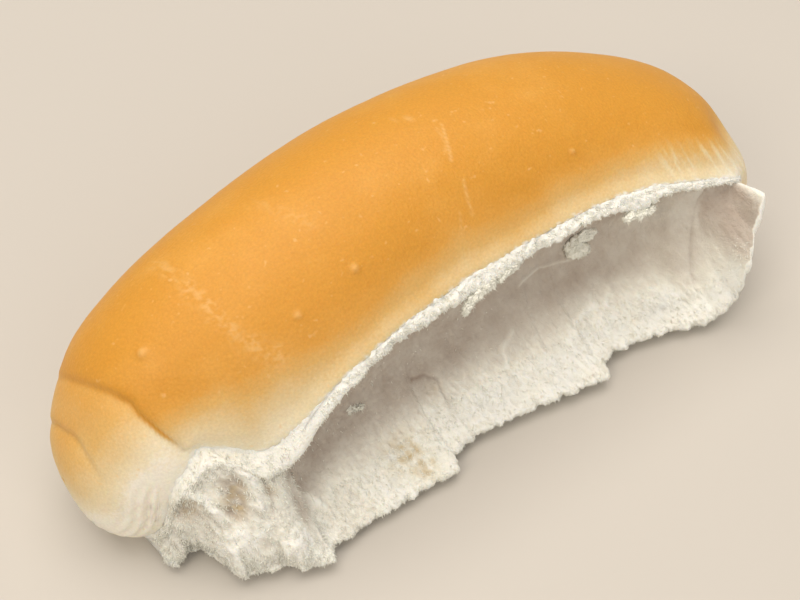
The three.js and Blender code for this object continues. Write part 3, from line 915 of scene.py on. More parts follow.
class CrumbRelief(Relief):
    """The torn crumb: waves, pulled fibres, open cells, tufts, hollows and the crumbly broken edge."""

    HIDDEN = -0.7
    DEPTH = (2.6, 0.55)
    PROUD = 0.15
    LOWEST = (1.8, 0.3)  # below this a hollow is cut off, in thick and in thin bread
    FLUFFY_TO = (-48.0, -41.0)
    CRUMBLY_FROM = (-38.0, -26.0)
    PILLED_TO = (-20.0, 12.0)
    CRUMBS_FADE = (50.0, 57.0)
    SKIRT_CALM = (49.0, 54.0)
    SKIRT_T = (0.66, 0.86)
    END_LIP = (60.9, 61.6)
    FIBRE_SLANT = 0.35
    CELLS = Uneven(1.0, (0.95, 0.9, 0.9), 13.0, 3)
    FIBRES = Uneven(1.0, (0.7, 3.2, 3.2), 12.0)
    TUFTS = Uneven(1.0, (2.0, 3.2, 4.2), 14.0)
    WAVES = Uneven(0.45, (11, 9, 9), 11.0)
    CUFF = -0.33  # how far the cuff round the crust's broken edge starts below the crust
    CUFF_FRAY = Uneven(0.5, (1.3, 1.2, 1.2), 15.0)
    CUFF_EDGE = (0.2, 1.1)
    YELLOW_AND_SHADE_CELLS = Uneven(1.0, (1.5, 1.4, 1.4), 17.0)
    # Painted shade in the scoop under the overhanging rim, where the crumb is also denser; less of it
    # towards the right end.
    SCOOP_SHADE_AND_DENSITY = 0.8
    SCOOP_SHADE_EASED = (0.16, (34.0, 46.0))  # by how much, and where
    SCOOP_T = ((0.0, 0.03), (0.6, 0.92))
    # Painted shade on the flap's upper part, which faces away from the light.
    FLAP_SHADE = 0.84
    FLAP_X = ((50.0, 54.0), (60.0, 61.5))
    FLAP_Z = (11.5, 21.0)
    FLAP_T = (0.02, 0.1)
    # Painted shade on the face beside the left patch, whose ridge blocks the light from the left.
    BESIDE_SHADE = 0.2
    BESIDE_X = ((-48.0, -43.0), (-34.0, -26.0))
    # Painted shade over the fluffy patch at the left end.
    FLUFFY_SHADE = 0.22
    # Painted light where the crumb stands proud, painted shade in its hollows.
    PROUD_LIGHT_HOLLOW_SHADE = 0.45

    def __init__(self, form: BunForm) -> None:
        """Work out the strengths of each kind of roughness.

        Args:
            form: the plain form of the crumb's strip.
        """
        super().__init__(form)
        face = self.within(Zone.SCOOP)
        self.fluffy = 1 - smooth(self.x, *self.FLUFFY_TO)
        self.skirt = np.where(face, smooth(self.t, *self.SKIRT_T), self.within(Zone.EDGE, Zone.UNDER) * 1.0)
        lip = np.where(self.within(Zone.LIP), 1 - smooth(self.t, 0.85, 1.0) * 0.5, 0.0)
        lip += np.where(face, 0.5 * (1 - smooth(self.t, 0, 0.03)), 0) + self.within(Zone.DOME)
        self.lip = np.maximum(lip, smooth(self.x, *self.END_LIP))
        self.crumbly = smooth(self.x, *self.CRUMBLY_FROM)
        self.pilled = 1 - smooth(self.x, *self.PILLED_TO)
        self.rough = self._rough()
        self.features = self.torn_features()

    def _rough(self) -> np.ndarray:
        """Add up the crumb's cells, fibres and tufts, each with its strength in each region.

        Returns:
            Their height at each point, in millimetres.
        """
        along = self.points.copy()
        along[:, 0] += self.FIBRE_SLANT * self.z
        fuzz = np.random.default_rng(5).normal(0, 1, len(self.points))
        cells = self.CELLS.over(self.points)
        fibres = self.FIBRES.over(along)
        tufts = 0.6 - 2.4 * np.abs(self.TUFTS.over(along))
        plain = (1 - self.fluffy) * (1 - self.lip) * (1 - self.skirt)
        tufted = self.fluffy
        crumbs = self.lip * self.crumbly * (1 - 0.6 * smooth(self.x, *self.CRUMBS_FADE))
        skirt = self.skirt * (1 - self.fluffy) * (1 - 0.65 * smooth(self.x, *self.SKIRT_CALM))
        return (
            cells * (0.06 * plain + 0.08 * plain * self.pilled + 0.1 * tufted + 0.22 * crumbs + 0.2 * skirt)
            + fibres * (0.07 * plain + 0.15 * tufted + 0.14 * skirt)
            + tufts * (0.24 * tufted * (1 - 0.5 * self.lip) + 0.3 * crumbs + 0.16 * skirt)
            + fuzz * (0.01 + 0.03 * tufted + 0.04 * crumbs + 0.035 * skirt)
        )

    def raised(self) -> np.ndarray:
        """Raise the crumb by all its relief, and let its borders into the crust.

        Returns:
            The points, in millimetres.
        """
        cuff, lip, under = (self.within(zone) for zone in (Zone.DOME, Zone.LIP, Zone.UNDER))
        own = np.where(cuff, 0.0, np.where(lip, smooth(self.t, 0.0, 0.8), 1.0))
        soft = mix(self.plain(), self.WAVES.over(self.points), own)
        edge = (self.t - CUFF_START) / (1 - CUFF_START)
        edge += self.CUFF_FRAY.over(self.points) * smooth(edge, 0.1, 0.5)
        full = smooth(edge, *self.CUFF_EDGE)
        soft += cuff * mix(self.CUFF, 0.0, full)
        rough = self.rough * np.where(cuff, 0.3 * full, 1.0)
        floor = np.minimum(self.features, 0.0) - mix(*self.LOWEST, self.thin())
        lift = np.maximum(self.PROUD + soft + rough + self.features * (1 - 0.7 * self.lip), floor)
        lift = mix(self.plain() + self.HIDDEN, lift, self._shown(cuff, under))
        return self.standing(lift * np.maximum(0.35, smooth(self.z, 0.0, 3.0)))

    def _shown(self, cuff: np.ndarray, under: np.ndarray) -> np.ndarray:
        """Find where the crumb lies over the crust.

        Args:
            cuff: which points lie round the crust's broken edge.
            under: which lie on the underside.

        Returns:
            A share from 0, let in under the crust, to 1.
        """
        shown = smooth(self.torn, 0.05, 0.4)
        shown = np.minimum(shown, np.where(cuff, smooth(self.t, CUFF_START, CUFF_START + 0.01), 1.0))
        return np.minimum(shown, np.where(under, 1 - smooth(self.t, 0.3, UNDER_END), 1.0))

    def inside(self) -> np.ndarray:
        """The sheet's hidden inner side, deeper than any hollow of the outer one."""
        lift = np.minimum(self.features, 0.0) - self.depth(self.DEPTH)
        return self.standing(lift * smooth(self.torn, 0.0, 0.4))

    def standing(self, lift: np.ndarray) -> np.ndarray:
        """Move the points out along their normals, and keep them clear of the table.

        Args:
            lift: how far, in millimetres.

        Returns:
            The points.
        """
        points = self.points + self.form.normals(closed=False).reshape(-1, 3) * lift[:, None]
        points[:, 2] = np.maximum(points[:, 2], CLEAR)
        return points

    def open_and_lit(self) -> np.ndarray:
        """Find how open and how lit the crumb is: the scoop is denser, painted shade greys the scoop under
        the rim, the flap's upper part, the face beside the left patch and the fluffy patch, and what stands
        proud is painted lighter.

        Returns:
            A share from 0 to 1 for each point.
        """
        face, inner = self.within(Zone.SCOOP), 1 - self.lip
        hollow = smooth(np.repeat(self.form.hollow[:, 0], self.around), 0.05, 0.6)
        top, foot = self.SCOOP_T
        sheltered = np.where(face, smooth(self.t, *top) * (1 - smooth(self.t, *foot)), 0.0)
        shade_eased, there = self.SCOOP_SHADE_EASED
        # Painted shade in the scoop, under the rim.
        scoop = (self.SCOOP_SHADE_AND_DENSITY - shade_eased * smooth(self.x, *there)) * sheltered * hollow
        # Painted shade on the flap's upper part.
        start, end = self.FLAP_X
        flap = smooth(self.x, *start) * smooth(self.z, *self.FLAP_Z) * (1 - smooth(self.x, *end))
        flap *= np.where(face, smooth(self.t, *self.FLAP_T), 0.0)
        # Painted shade beside the left patch.
        start, end = self.BESIDE_X
        beside = self.BESIDE_SHADE * smooth(self.x, *start) * (1 - smooth(self.x, *end)) * inner
        # The strongest of these painted shades counts at each point.
        parts = (scoop, self.FLAP_SHADE * flap, beside, self.FLUFFY_SHADE * self.fluffy * inner)
        # Painted light on what stands proud, painted shade in hollows.
        proud = np.clip(self.rough / 0.8, -0.5, 0.4) * (1 - 0.7 * self.lip)
        proud += np.clip(1.3 * self.features, -0.9, 2.0)
        return np.clip(1 - np.maximum.reduce(parts) + self.PROUD_LIGHT_HOLLOW_SHADE * proud, 0, 1)

    def yellow_and_shade(self) -> np.ndarray:
        """Share of a darker yellow, yellowish crumb with painted shade, in hollows and thin places, broken
        up by the crumb's cells.
        """
        broken = 0.72 + self.YELLOW_AND_SHADE_CELLS.over(self.points)
        return np.clip(sum(spot.relief(self.points) for spot in YELLOW_AND_SHADE_SPOTS) * broken, 0, 1)


CUFF_START = 0.96  # share of the dome at which the crumb's sheet starts, above the broken edge
UNDER_END = 0.6  # share of the underside at which it ends


# -------------------------------------------------------------------------------- finishes


def linear(colour: str) -> tuple[float, float, float, float]:
    """Turn an sRGB hex colour into linear values with full alpha."""
    parts = [int(colour[i : i + 2], 16) / 255 for i in (1, 3, 5)]
    return (*(c / 12.92 if c <= 0.04045 else ((c + 0.055) / 1.055) ** 2.4 for c in parts), 1.0)


def add_node(
    tree: bpy.types.NodeTree, kind: str, inputs: dict | None = None, **settings: object
) -> bpy.types.Node:
    """Add a shader node with its settings, values and links.

    Args:
        tree: the material's node tree.
        kind: the node's type name, such as ShaderNodeMix.
        inputs: for each socket, by name or number, a value or an output socket to link.
        settings: properties of the node.

    Returns:
        The node.
    """
    node = tree.nodes.new(kind)
    for name, value in settings.items():
        setattr(node, name, value)
    for name, value in (inputs or {}).items():
        if isinstance(value, bpy.types.NodeSocket):
            tree.links.new(value, node.inputs[name])
        else:
            node.inputs[name].default_value = value
    return node


class Paints:
    """The patterns and sums that finishes are mixed from, each added to one material's tree."""

    MIXED = (6, 7)  # sockets of the two colours of a mix node
    MIX = 2  # and of its colour that comes out

    def __init__(self, tree: bpy.types.NodeTree) -> None:
        """Keep the tree, and read the piece's own coordinates."""
        self.tree = tree
        self.place = add_node(tree, "ShaderNodeTexCoord").outputs["Object"]

    def stored(self, name: str) -> bpy.types.NodeSocket:
        """A number that the mesh stores at each vertex."""
        return add_node(self.tree, "ShaderNodeAttribute", attribute_name=name).outputs["Fac"]

    def noise(self, grain: float, detail: float) -> bpy.types.NodeSocket:
        """Soft noise, with its grain in millimetres and its number of finer layers."""
        inputs = {"Vector": self.place, "Scale": 1.0 / (grain * MM), "Detail": detail}
        return add_node(self.tree, "ShaderNodeTexNoise", inputs).outputs["Fac"]

    def sum(self, operation: str, *values: object) -> bpy.types.NodeSocket:
        """One step of arithmetic on sockets and numbers."""
        inputs = dict(enumerate(values))
        return add_node(self.tree, "ShaderNodeMath", inputs, operation=operation).outputs[0]

    def swayed(
        self, level: bpy.types.NodeSocket, grain: float, detail: float, by: float
    ) -> bpy.types.NodeSocket:
        """Let a level wander up and down.

        Args:
            level: what wanders.
            grain: the noise's grain in millimetres.
            detail: how many finer layers it has.
            by: how much of the noise is added, which itself goes from 0 to 1.

        Returns:
            The new level.
        """
        drift = self.sum("SUBTRACT", self.noise(grain, detail), 0.5)
        return self.sum("MULTIPLY_ADD", drift, by, level)

    def stretched(
        self, value: bpy.types.NodeSocket, source: Range, target: Range
    ) -> bpy.types.NodeSocket:
        """Map one range of a value to another, and hold it there outside.

        Args:
            value: what is mapped.
            source: the range that it has.
            target: the range that it gets.

        Returns:
            The mapped value.
        """
        names = ("From Min", "From Max", "To Min", "To Max")
        inputs = {"Value": value, **dict(zip(names, (*source, *target)))}
        return add_node(self.tree, "ShaderNodeMapRange", inputs).outputs["Result"]

    def mixed(
        self, share: object, first: object, second: object, blend: str = "MIX"
    ) -> bpy.types.NodeSocket:
        """Mix two colours.

        Args:
            share: how much of the second, a socket or a number.
            first: a socket or a linear colour.
            second: likewise.
            blend: the way of mixing.

        Returns:
            The colour that comes out.
        """
        inputs = {0: share, **dict(zip(self.MIXED, (first, second)))}
        return add_node(
            self.tree, "ShaderNodeMix", inputs, data_type="RGBA", blend_type=blend
        ).outputs[self.MIX]

    def ramp(
        self, level: bpy.types.NodeSocket, stops: tuple[tuple[float, str], ...]
    ) -> bpy.types.NodeSocket:
        """Turn a level into colours.

        Args:
            level: from 0 to 1.
            stops: pairs of level and hex colour.

        Returns:
            The colour.
        """
        node = add_node(self.tree, "ShaderNodeValToRGB", {"Fac": level})
        elements = node.color_ramp.elements
        while len(elements) < len(stops):
            elements.new(1.0)
        for element, (at, colour) in zip(elements, stops):
            element.position = at
            element.color = linear(colour)
        return node.outputs["Color"]

    def bump(
        self,
        height: bpy.types.NodeSocket,
        strength: float,
        deep: float,
        over: bpy.types.NodeSocket | None = None,
    ) -> bpy.types.NodeSocket:
        """Make a pattern stand up.

        Args:
            height: the pattern.
            strength: its share, 0 to 1.
            deep: its full height in millimetres.
            over: the bump on which it is laid, if any.

        Returns:
            The bent normal.
        """
        inputs = {"Height": height, "Strength": strength, "Distance": deep * MM}
        if over is not None:
            inputs["Normal"] = over
        return add_node(self.tree, "ShaderNodeBump", inputs).outputs["Normal"]


class BreadFinish:
    """What crust and crumb share: a dull surface that lets some light in."""

    def surface(self, paints: Paints) -> dict[str, object]:
        """The shader's own inputs, which each finish gives."""
        raise NotImplementedError

    def make(self, name: str) -> bpy.types.Material:
        """Build the material.

        Args:
            name: the material's name.

        Returns:
            The material.
        """
        material = bpy.data.materials.new(name)
        material.use_nodes = True
        tree = material.node_tree
        tree.nodes.clear()
        inputs = {**self.surface(Paints(tree)), "Subsurface Scale": MM}
        shader = add_node(tree, "ShaderNodeBsdfPrincipled", inputs, subsurface_method="RANDOM_WALK")
        add_node(tree, "ShaderNodeOutputMaterial", {"Surface": shader.outputs["BSDF"]})
        return material


@dataclass(frozen=True)
class CrustFinish(BreadFinish):
    """Soft white bread's thin browned skin, baked with a milk wash: gold, faintly satin, finely pored."""

    browning_and_painted_light: tuple[tuple[float, str], ...] = (
        (0.0, "#f8f1e2"), (0.1, "#f0e3c4"), (0.3, "#e6cfa0"), (0.55, "#e0b56c"), (0.8, "#dda247"),
        (1.0, "#d69836"),
    )  # fmt: skip
    pale: str = "#efc788"
    crumb: str = "#f8f2e6"
    cloud: float = 0.42
    grain: float = 0.14
    freckles: Range = (0.7, 0.8)
    freckle_share: float = 0.35
    dust: Range = (0.94, 1.04)

    def surface(self, paints: Paints) -> dict[str, object]:
        """Dress the crust, which is bare crumb where the mesh says so.

        Args:
            paints: the material's patterns.

        Returns:
            The shader's inputs.
        """
        # The skin's pores are finer than this, and are drawn coarser so that they still show.
        pores = paints.bump(paints.noise(0.6, 3.0), 0.7, 0.13)
        return {
            "Base Color": paints.mixed(paints.stored("crumb"), self._skin(paints), linear(self.crumb)),
            "Roughness": 0.5,
            "IOR": 1.4,
            "Subsurface Weight": 0.35,
            "Subsurface Radius": (2.0, 1.3, 0.7),
            "Normal": pores,
        }

    def _skin(self, paints: Paints) -> bpy.types.NodeSocket:
        """Mix the skin's colour: cream by the tear and the foot, gold over the dome, with painted light
        above the rim and painted shade in the fold's crease.

        Args:
            paints: the material's patterns.

        Returns:
            The colour, clouded, speckled and dusted.
        """
        shade = paints.swayed(paints.stored("browning_and_painted_light"), 16, 4.0, self.cloud)
        shade = paints.swayed(shade, 0.55, 2.0, self.grain)
        dots = paints.stretched(paints.noise(1.3, 1.0), self.freckles, (0.0, self.freckle_share))
        spots = paints.sum("MAXIMUM", dots, paints.stored("marks"))
        skin = paints.mixed(spots, paints.ramp(shade, self.browning_and_painted_light), linear(self.pale))
        dust = paints.stretched(paints.noise(0.45, 2.0), (0.3, 0.7), self.dust)
        return paints.mixed(1.0, skin, dust, "MULTIPLY")


@dataclass(frozen=True)
class CrumbFinish(BreadFinish):
    """Torn white crumb: dull and off-white, darkened by painted shade where the mesh says and painted
    lighter where it stands proud, and lit through at its edges.
    """

    # The first colour is denser crumb as it looks in painted shade; the second is open crumb as it looks in
    # full light.
    dense_and_shaded: str = "#b3a497"
    open_and_lit: str = "#fdfdf3"
    # A darker yellow: yellowish crumb with painted shade.
    yellow_and_shade: str = "#cbb892"
    drift: float = 0.5
    lit_through: float = 0.5

    def surface(self, paints: Paints) -> dict[str, object]:
        """Dress the crumb.

        Args:
            paints: the material's patterns.

        Returns:
            The shader's inputs.
        """
        # The stored share paints the crumb's light and shade: 0 gives the shaded colour, 1 the lit one.
        shade = paints.swayed(paints.stored("open_and_lit"), 5, 4.0, self.drift)
        colour = paints.mixed(shade, linear(self.dense_and_shaded), linear(self.open_and_lit))
        pills = paints.bump(paints.noise(0.9, 2.0), 0.6, 0.35)
        return {
            "Base Color": paints.mixed(paints.stored("yellow_and_shade"), colour, linear(self.yellow_and_shade)),
            "Roughness": 0.85,
            "Specular IOR Level": 0.2,
            "Subsurface Weight": self.lit_through,
            "Subsurface Radius": (0.9, 0.78, 0.66),
            "Normal": paints.bump(paints.noise(0.35, 3.0), 0.8, 0.25, pills),
        }


# ----------------------------------------------------------------------------------- pieces


def activate(piece: bpy.types.Object) -> None:
    """Select one object alone and make it the active one.

    Args:
        piece: the object.
    """
    bpy.ops.object.select_all(action="DESELECT")
    piece.select_set(True)
    bpy.context.view_layer.objects.active = piece


def face_outwards(piece: bpy.types.Object) -> None:
    """Turn all faces of closed skins outwards.

    Args:
        piece: the object with the skins.
    """
    activate(piece)
    bpy.ops.object.mode_set(mode="EDIT")
    bpy.ops.mesh.select_all(action="SELECT")
    bpy.ops.mesh.normals_make_consistent(inside=False)
    bpy.ops.object.mode_set(mode="OBJECT")


def unit(vectors: np.ndarray) -> np.ndarray:
    """Give each vector a length of one."""
    return vectors / (np.linalg.norm(vectors, axis=-1, keepdims=True) + 1e-9)


class Skin:
    """A closed skin made from a sphere: its rings become sections, its poles the two tips."""

    def __init__(self, name: str, grid: np.ndarray, tips: np.ndarray) -> None:
        """Make the mesh.

        Args:
            name: the piece's name.
            grid: rows of rings of points, in millimetres.
            tips: the two points that close its ends.
        """
        self.rows, self.around = grid.shape[:2]
        bpy.ops.object.select_all(action="DESELECT")
        bpy.ops.mesh.primitive_uv_sphere_add(segments=self.around, ring_count=self.rows + 1, radius=1.0)
        self.piece = bpy.context.active_object
        self.piece.name = self.piece.data.name = name
        self.order = self._grid_order()
        points = np.vstack([grid.reshape(-1, 3), tips])
        self.piece.data.vertices.foreach_set("co", (points[self.order] * MM).ravel())
        face_outwards(self.piece)
        bpy.ops.object.shade_smooth()
        LOG.info("%s: %d faces", name, len(self.piece.data.polygons))

    def _grid_order(self) -> np.ndarray:
        """Find out which grid point each vertex of the sphere becomes.

        Returns:
            The grid points' numbers, with the two tips last.
        """
        mesh, rows, around = self.piece.data, self.rows, self.around
        places = np.empty(len(mesh.vertices) * 3)
        mesh.vertices.foreach_get("co", places)
        places = places.reshape(-1, 3)
        ring = np.rint(np.arccos(np.clip(places[:, 2], -1, 1)) / np.pi * (rows + 1)).astype(int) - 1
        turn = np.arctan2(places[:, 1], places[:, 0]) / (2 * np.pi) % 1.0
        order = ring * around + np.rint(turn * around).astype(int) % around
        order[ring < 0] = rows * around
        order[ring >= rows] = rows * around + 1
        return order

    def write(self, name: str, values: np.ndarray, at_tips: float) -> None:
        """Store a number for every vertex as an attribute.

        Args:
            name: the attribute's name.
            values: one number for each grid point.
            at_tips: the number for the two tips.
        """
        layer = self.piece.data.attributes.new(name, "FLOAT", "POINT")
        layer.data.foreach_set("value", np.append(values, [at_tips, at_tips])[self.order])

    def finish(self, material: bpy.types.Material) -> None:
        """Give the piece its material, and let it ride on the bun.

        Args:
            material: the piece's material.
        """
        self.piece.data.materials.append(material)
        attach(self.piece, "root")


@dataclass(frozen=True)
class Mark:
    """A pale mark on the dome: a bent line of (x, y), its width in millimetres, strength and break-up."""

    line: Outline
    width: float
    strength: float
    broken: float = 0.0


@dataclass(frozen=True)
class Crust:
    """The whole bun's skin, browned, with the torn side let in under the crumb."""

    sections: int = 400
    stretches: tuple[Stretch, ...] = (
        Stretch(Zone.BASE, 10),
        Stretch(Zone.BACK, 50),
        Stretch(Zone.DOME, 116),
        Stretch(Zone.LIP, 6),
        Stretch(Zone.SCOOP, 40),
        Stretch(Zone.EDGE, 4),
        Stretch(Zone.UNDER, 14),
    )
    # How far from the broken edge the crust stays pale: the real pale band, and beyond it painted light on
    # crust above the rim, which faces away from the top lamp.
    pale_band_and_light_reach: Outline = (
        (-60, 16), (-54, 16), (-48, 20), (-42, 20), (-36, 17), (-28, 14), (-20, 13), (20, 12),
        (50, 12), (64, 13), (72, 18),
    )  # fmt: skip
    rim_browning: Outline = ((-46, 0.05), (-34, 0.26), (-20, 0.4), (30, 0.38), (48, 0.2), (60, 0))
    lobe_browning: Range = (0.05, 0.73)
    lobe_from_rim: Range = (4.3, 20.5)
    pale_foot: Range = (2.0, 27.0)
    pale_end: tuple[Range, Range, Range] = ((61.0, 70.0), (-12.0, 4.0), (17.0, 39.0))
    # Painted shade in the upper fold's crease, as a darker gold on the crust.
    crease_shade: float = 0.95
    crease_width: float = 0.4
    crease_from_rim: Range = (2.0, 8.0)
    streaks_pale: float = 0.6
    clouds: Uneven = Uneven(0.12, (9, 7, 7), 22.0)
    fray: Uneven = Uneven(0.7, (1.2, 1.1, 1.1), 25.0)
    frayed: Range = (0.1, 0.9)
    mark_wander: Uneven = Uneven(0.6, (2.0, 1.8, 2.0), 23.0)
    mark_clots: Uneven = Uneven(1.0, (0.8, 0.8, 0.8), 24.0)
    marks_above: float = 30.0
    blister_pale: float = 0.3
    marks: tuple[Mark, ...] = (
        Mark(((8.3, 5.9), (7.0, 3.0), (4.9, -1.1)), 0.24, 0.4),
        Mark(((6.9, 5.6), (6.2, 2.0), (5.0, 0.8)), 0.24, 0.2),
        Mark(((4.9, -4.5), (4.0, -6.8), (3.5, -8.9)), 0.24, 0.4),
        Mark(((1.4, -7.9), (0.2, -10.2)), 0.2, 0.3),
        Mark(((2.2, 12.0), (4.0, 10.5), (6.5, 9.6)), 0.2, 0.35),
        Mark(((-45.3, 15.6), (-44.6, 4.0), (-42.5, -6.1), (-38.3, -10.6)), 1.2, 0.35, 1.0),
        Mark(((-27.5, 12.7), (-24.5, 6.0), (-22.7, 1.8)), 1.3, 0.16, 1.0),
    )

    def build(self, loaf: Loaf, tear: Tear) -> bpy.types.Object:
        """Make the piece.

        Args:
            loaf: sizes of the plain loaf.
            tear: sizes of the torn side.

        Returns:
            The piece.
        """
        shares = loaf.stations(self.sections + 2, -loaf.half_length, loaf.half_length)
        relief = CrustRelief(BunForm(loaf, tear, shares[1:-1], self.stretches))
        tips = [[loaf.lengthwise(s), loaf.measure("back", s), loaf.measure("belly", s)] for s in (0.0, 1.0)]
        skin = Skin("soft_bun", relief.raised().reshape(relief.rows, relief.around, 3), np.array(tips))
        torn = relief.within(Zone.LIP, Zone.SCOOP, Zone.EDGE, Zone.UNDER)
        from_rim = relief.to_rim + self.fray.over(relief.points)
        bare = (1 - smooth(from_rim, *self.frayed)) * relief.torn
        skin.write("crumb", np.where(torn, relief.torn, bare), 0.0)
        skin.write("browning_and_painted_light", self._browning_and_painted_light(relief), 0.9)
        skin.write("marks", self._marks(relief), 0.0)
        skin.finish(CrustFinish().make("browned_crust"))
        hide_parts("bun")
        return skin.piece

    def _browning_and_painted_light(self, relief: CrustRelief) -> np.ndarray:
        """Work out how brown the crust is, with painted light on the crust above the rim and painted shade
        in the upper fold's crease.

        Args:
            relief: the crust's relief.

        Returns:
            For each point a share from 0, by the tear and at the foot, to 1 on the dome.
        """
        x, y, z = relief.points.T
        reach = through(self.pale_band_and_light_reach, x)
        from_tear = mix(through(self.rim_browning, x), 1.0, smooth(relief.to_rim / reach, 0.0, 1.0))
        under = UPPER_FOLD.under(relief.points)
        at_fold = smooth(x, *FOLD_END)
        lobe = mix(*self.lobe_browning, smooth(relief.to_rim, *self.lobe_from_rim))
        from_tear = mix(from_tear, lobe, smooth(under, -0.6, 0.9) * at_fold)
        end_x, end_y, end_z = self.pale_end
        at_end = smooth(x, *end_x) * (1 - smooth(y, *end_y))
        from_foot = smooth(z, *self.pale_foot) * mix(1.0, smooth(z, *end_z), at_end)
        # Painted shade along the upper fold's crease.
        crease = np.exp(-((under / self.crease_width) ** 2)) * at_fold
        crease *= smooth(relief.to_rim, *self.crease_from_rim)
        brown = from_tear * from_foot * (1 + self.clouds.over(relief.points))
        brown *= 1 - self.streaks_pale * relief.streaks()
        return np.clip(np.maximum(brown, self.crease_shade * crease), 0, 1)

    def _marks(self, relief: CrustRelief) -> np.ndarray:
        """Lay out pale blisters and stretch lines.

        Args:
            relief: the crust's relief.

        Returns:
            The share of their colour at each point.
        """
        points = relief.points
        wander = self.mark_wander.over(points)
        clots = smooth(self.mark_clots.over(points), -0.25, 0.35)
        marks = np.zeros(len(points))
        for mark in self.marks:
            away = distance_to_line(points[:, :2], mark.line) + wander * mark.width
            shown = mark.strength * np.exp(-((away / mark.width) ** 2)) * mix(1.0, clots, mark.broken)
            marks = np.maximum(marks, np.where(points[:, 2] > self.marks_above, shown, 0.0))
        for blister in BLISTERS:
            away = np.linalg.norm(points - np.array(blister.at), axis=1) / blister.reach
            marks = np.maximum(marks, self.blister_pale * np.exp(-(away**4)))
        return marks


@dataclass(frozen=True)
class Crumb:
    """The torn side's own fine skin, a closed sheet that lies on the bun and is let in all round."""

    sections: int = 640
    stretches: tuple[Stretch, ...] = (
        Stretch(Zone.DOME, 8, start=CUFF_START),
        Stretch(Zone.LIP, 14),
        Stretch(Zone.SCOOP, 100),
        Stretch(Zone.EDGE, 6),
        Stretch(Zone.UNDER, 10, stop=UNDER_END),
    )
    inner_columns: int = 14

    def build(self, loaf: Loaf, tear: Tear) -> tuple[CrumbRelief, np.ndarray]:
        """Make the piece.

        Args:
            loaf: sizes of the plain loaf.
            tear: sizes of the torn side.

        Returns:
            The relief, and the raised points as a grid, for the shreds that stand on them.
        """
        relief = CrumbRelief(BunForm(loaf, tear, tear.stations(loaf, self.sections), self.stretches))
        front = relief.raised().reshape(relief.rows, relief.around, 3)
        grid = np.concatenate([front, self._inside(relief)], 1)
        skin = Skin("torn_crumb", grid, grid[[0, -1]].mean(1))
        pad = np.zeros((relief.rows, self.inner_columns))
        for name, values in (("open_and_lit", relief.open_and_lit()), ("yellow_and_shade", relief.yellow_and_shade())):
            values = values.reshape(relief.rows, relief.around)
            skin.write(name, np.concatenate([values, pad], 1).ravel(), 0.0)
        skin.finish(CrumbFinish().make("white_crumb"))
        return relief, front

    def _inside(self, relief: CrumbRelief) -> np.ndarray:
        """Pick the sheet's hidden inner side.

        Args:
            relief: the crumb's relief.

        Returns:
            Its points as a grid, whose columns run back to the sheet's start.
        """
        picked = np.linspace(relief.around - 1, 0, self.inner_columns + 2)[1:-1].astype(int)
        return relief.inside().reshape(relief.rows, relief.around, 3)[:, picked]


class Shreds:
    """Small torn bits of crumb that stand on the crumb's raised skin."""

    WHITE = 0.95

    def __init__(self, relief: CrumbRelief, front: np.ndarray, seed: int) -> None:
        """Keep the raised skin as a grid.

        Args:
            relief: the crumb's relief.
            front: its raised points, in millimetres.
            seed: start of the random draws.
        """
        self.relief = relief
        self.front = front
        self.draw = np.random.default_rng(seed)

    def spots(self, tries: int, share: Outline, strip: Range) -> tuple[np.ndarray, ...]:
        """Draw places on the torn face.

        Args:
            tries: how many are tried.
            share: how likely a try is kept at x.
            strip: first and last column of the strip, as shares of the torn face.

        Returns:
            Places, and the directions down the face, along the bun and outwards there.
        """
        row = self.draw.uniform(1, self.relief.rows - 3, tries)
        column = (self.relief.around - 2) * self.draw.uniform(*strip, tries)
        i, j = row.astype(int), column.astype(int)
        u, v = (row - i)[:, None], (column - j)[:, None]
        corner = self.front[i, j]
        along, down = self.front[i + 1, j] - corner, self.front[i, j + 1] - corner
        place = corner + u * along + v * down
        kept = self.draw.uniform(0, 1, tries) < through(share, place[:, 0])
        kept &= self.relief.form.torn[i, 0] > 0.8
        plain = self.relief.form.points
        down = unit((plain[i, j + 1] - plain[i, j])[kept])
        along = unit((plain[i + 1, j] - plain[i, j])[kept])
        return place[kept], down, along, unit(np.cross(down, along))

    def piece(self, name: str, places: np.ndarray, faces: np.ndarray) -> bpy.types.Object:
        """Make one mesh of many like bits.

        Args:
            name: the piece's name.
            places: one row of points for each bit, in millimetres.
            faces: the faces of one bit.

        Returns:
            The piece.
        """
        count, size = places.shape[:2]
        corners = (faces[None] + (np.arange(count) * size)[:, None, None]).reshape(-1, faces.shape[1])
        places[..., 2] = np.maximum(places[..., 2], CLEAR)
        mesh = bpy.data.meshes.new(name)
        mesh.from_pydata((places.reshape(-1, 3) * MM).tolist(), [], corners.tolist())
        for label, value in (("open_and_lit", self.WHITE), ("yellow_and_shade", 0.0)):
            layer = mesh.attributes.new(label, "FLOAT", "POINT")
            layer.data.foreach_set("value", np.full(count * size, value))
        made = bpy.data.objects.new(name, mesh)
        bpy.context.scene.collection.objects.link(made)
        face_outwards(made)
        bpy.ops.object.shade_smooth()
        mesh.materials.append(CrumbFinish(lit_through=0.0).make("white_" + name))
        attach(made, "root")
        LOG.info("%s: %d bits, %d faces", name, count, len(mesh.polygons))
        return made


@dataclass(frozen=True)
class FibreBed:
    """One stretch of fibres.

    It has how many are tried, how likely one is kept at x, the strip of the torn face by shares,
    lengths and widths in millimetres, how far they lean out, and how far they spread sideways.
    """

    tries: int
    share: Outline
    strip: Range
    length: Range
    width: Range
    lean: Range
    spread: float


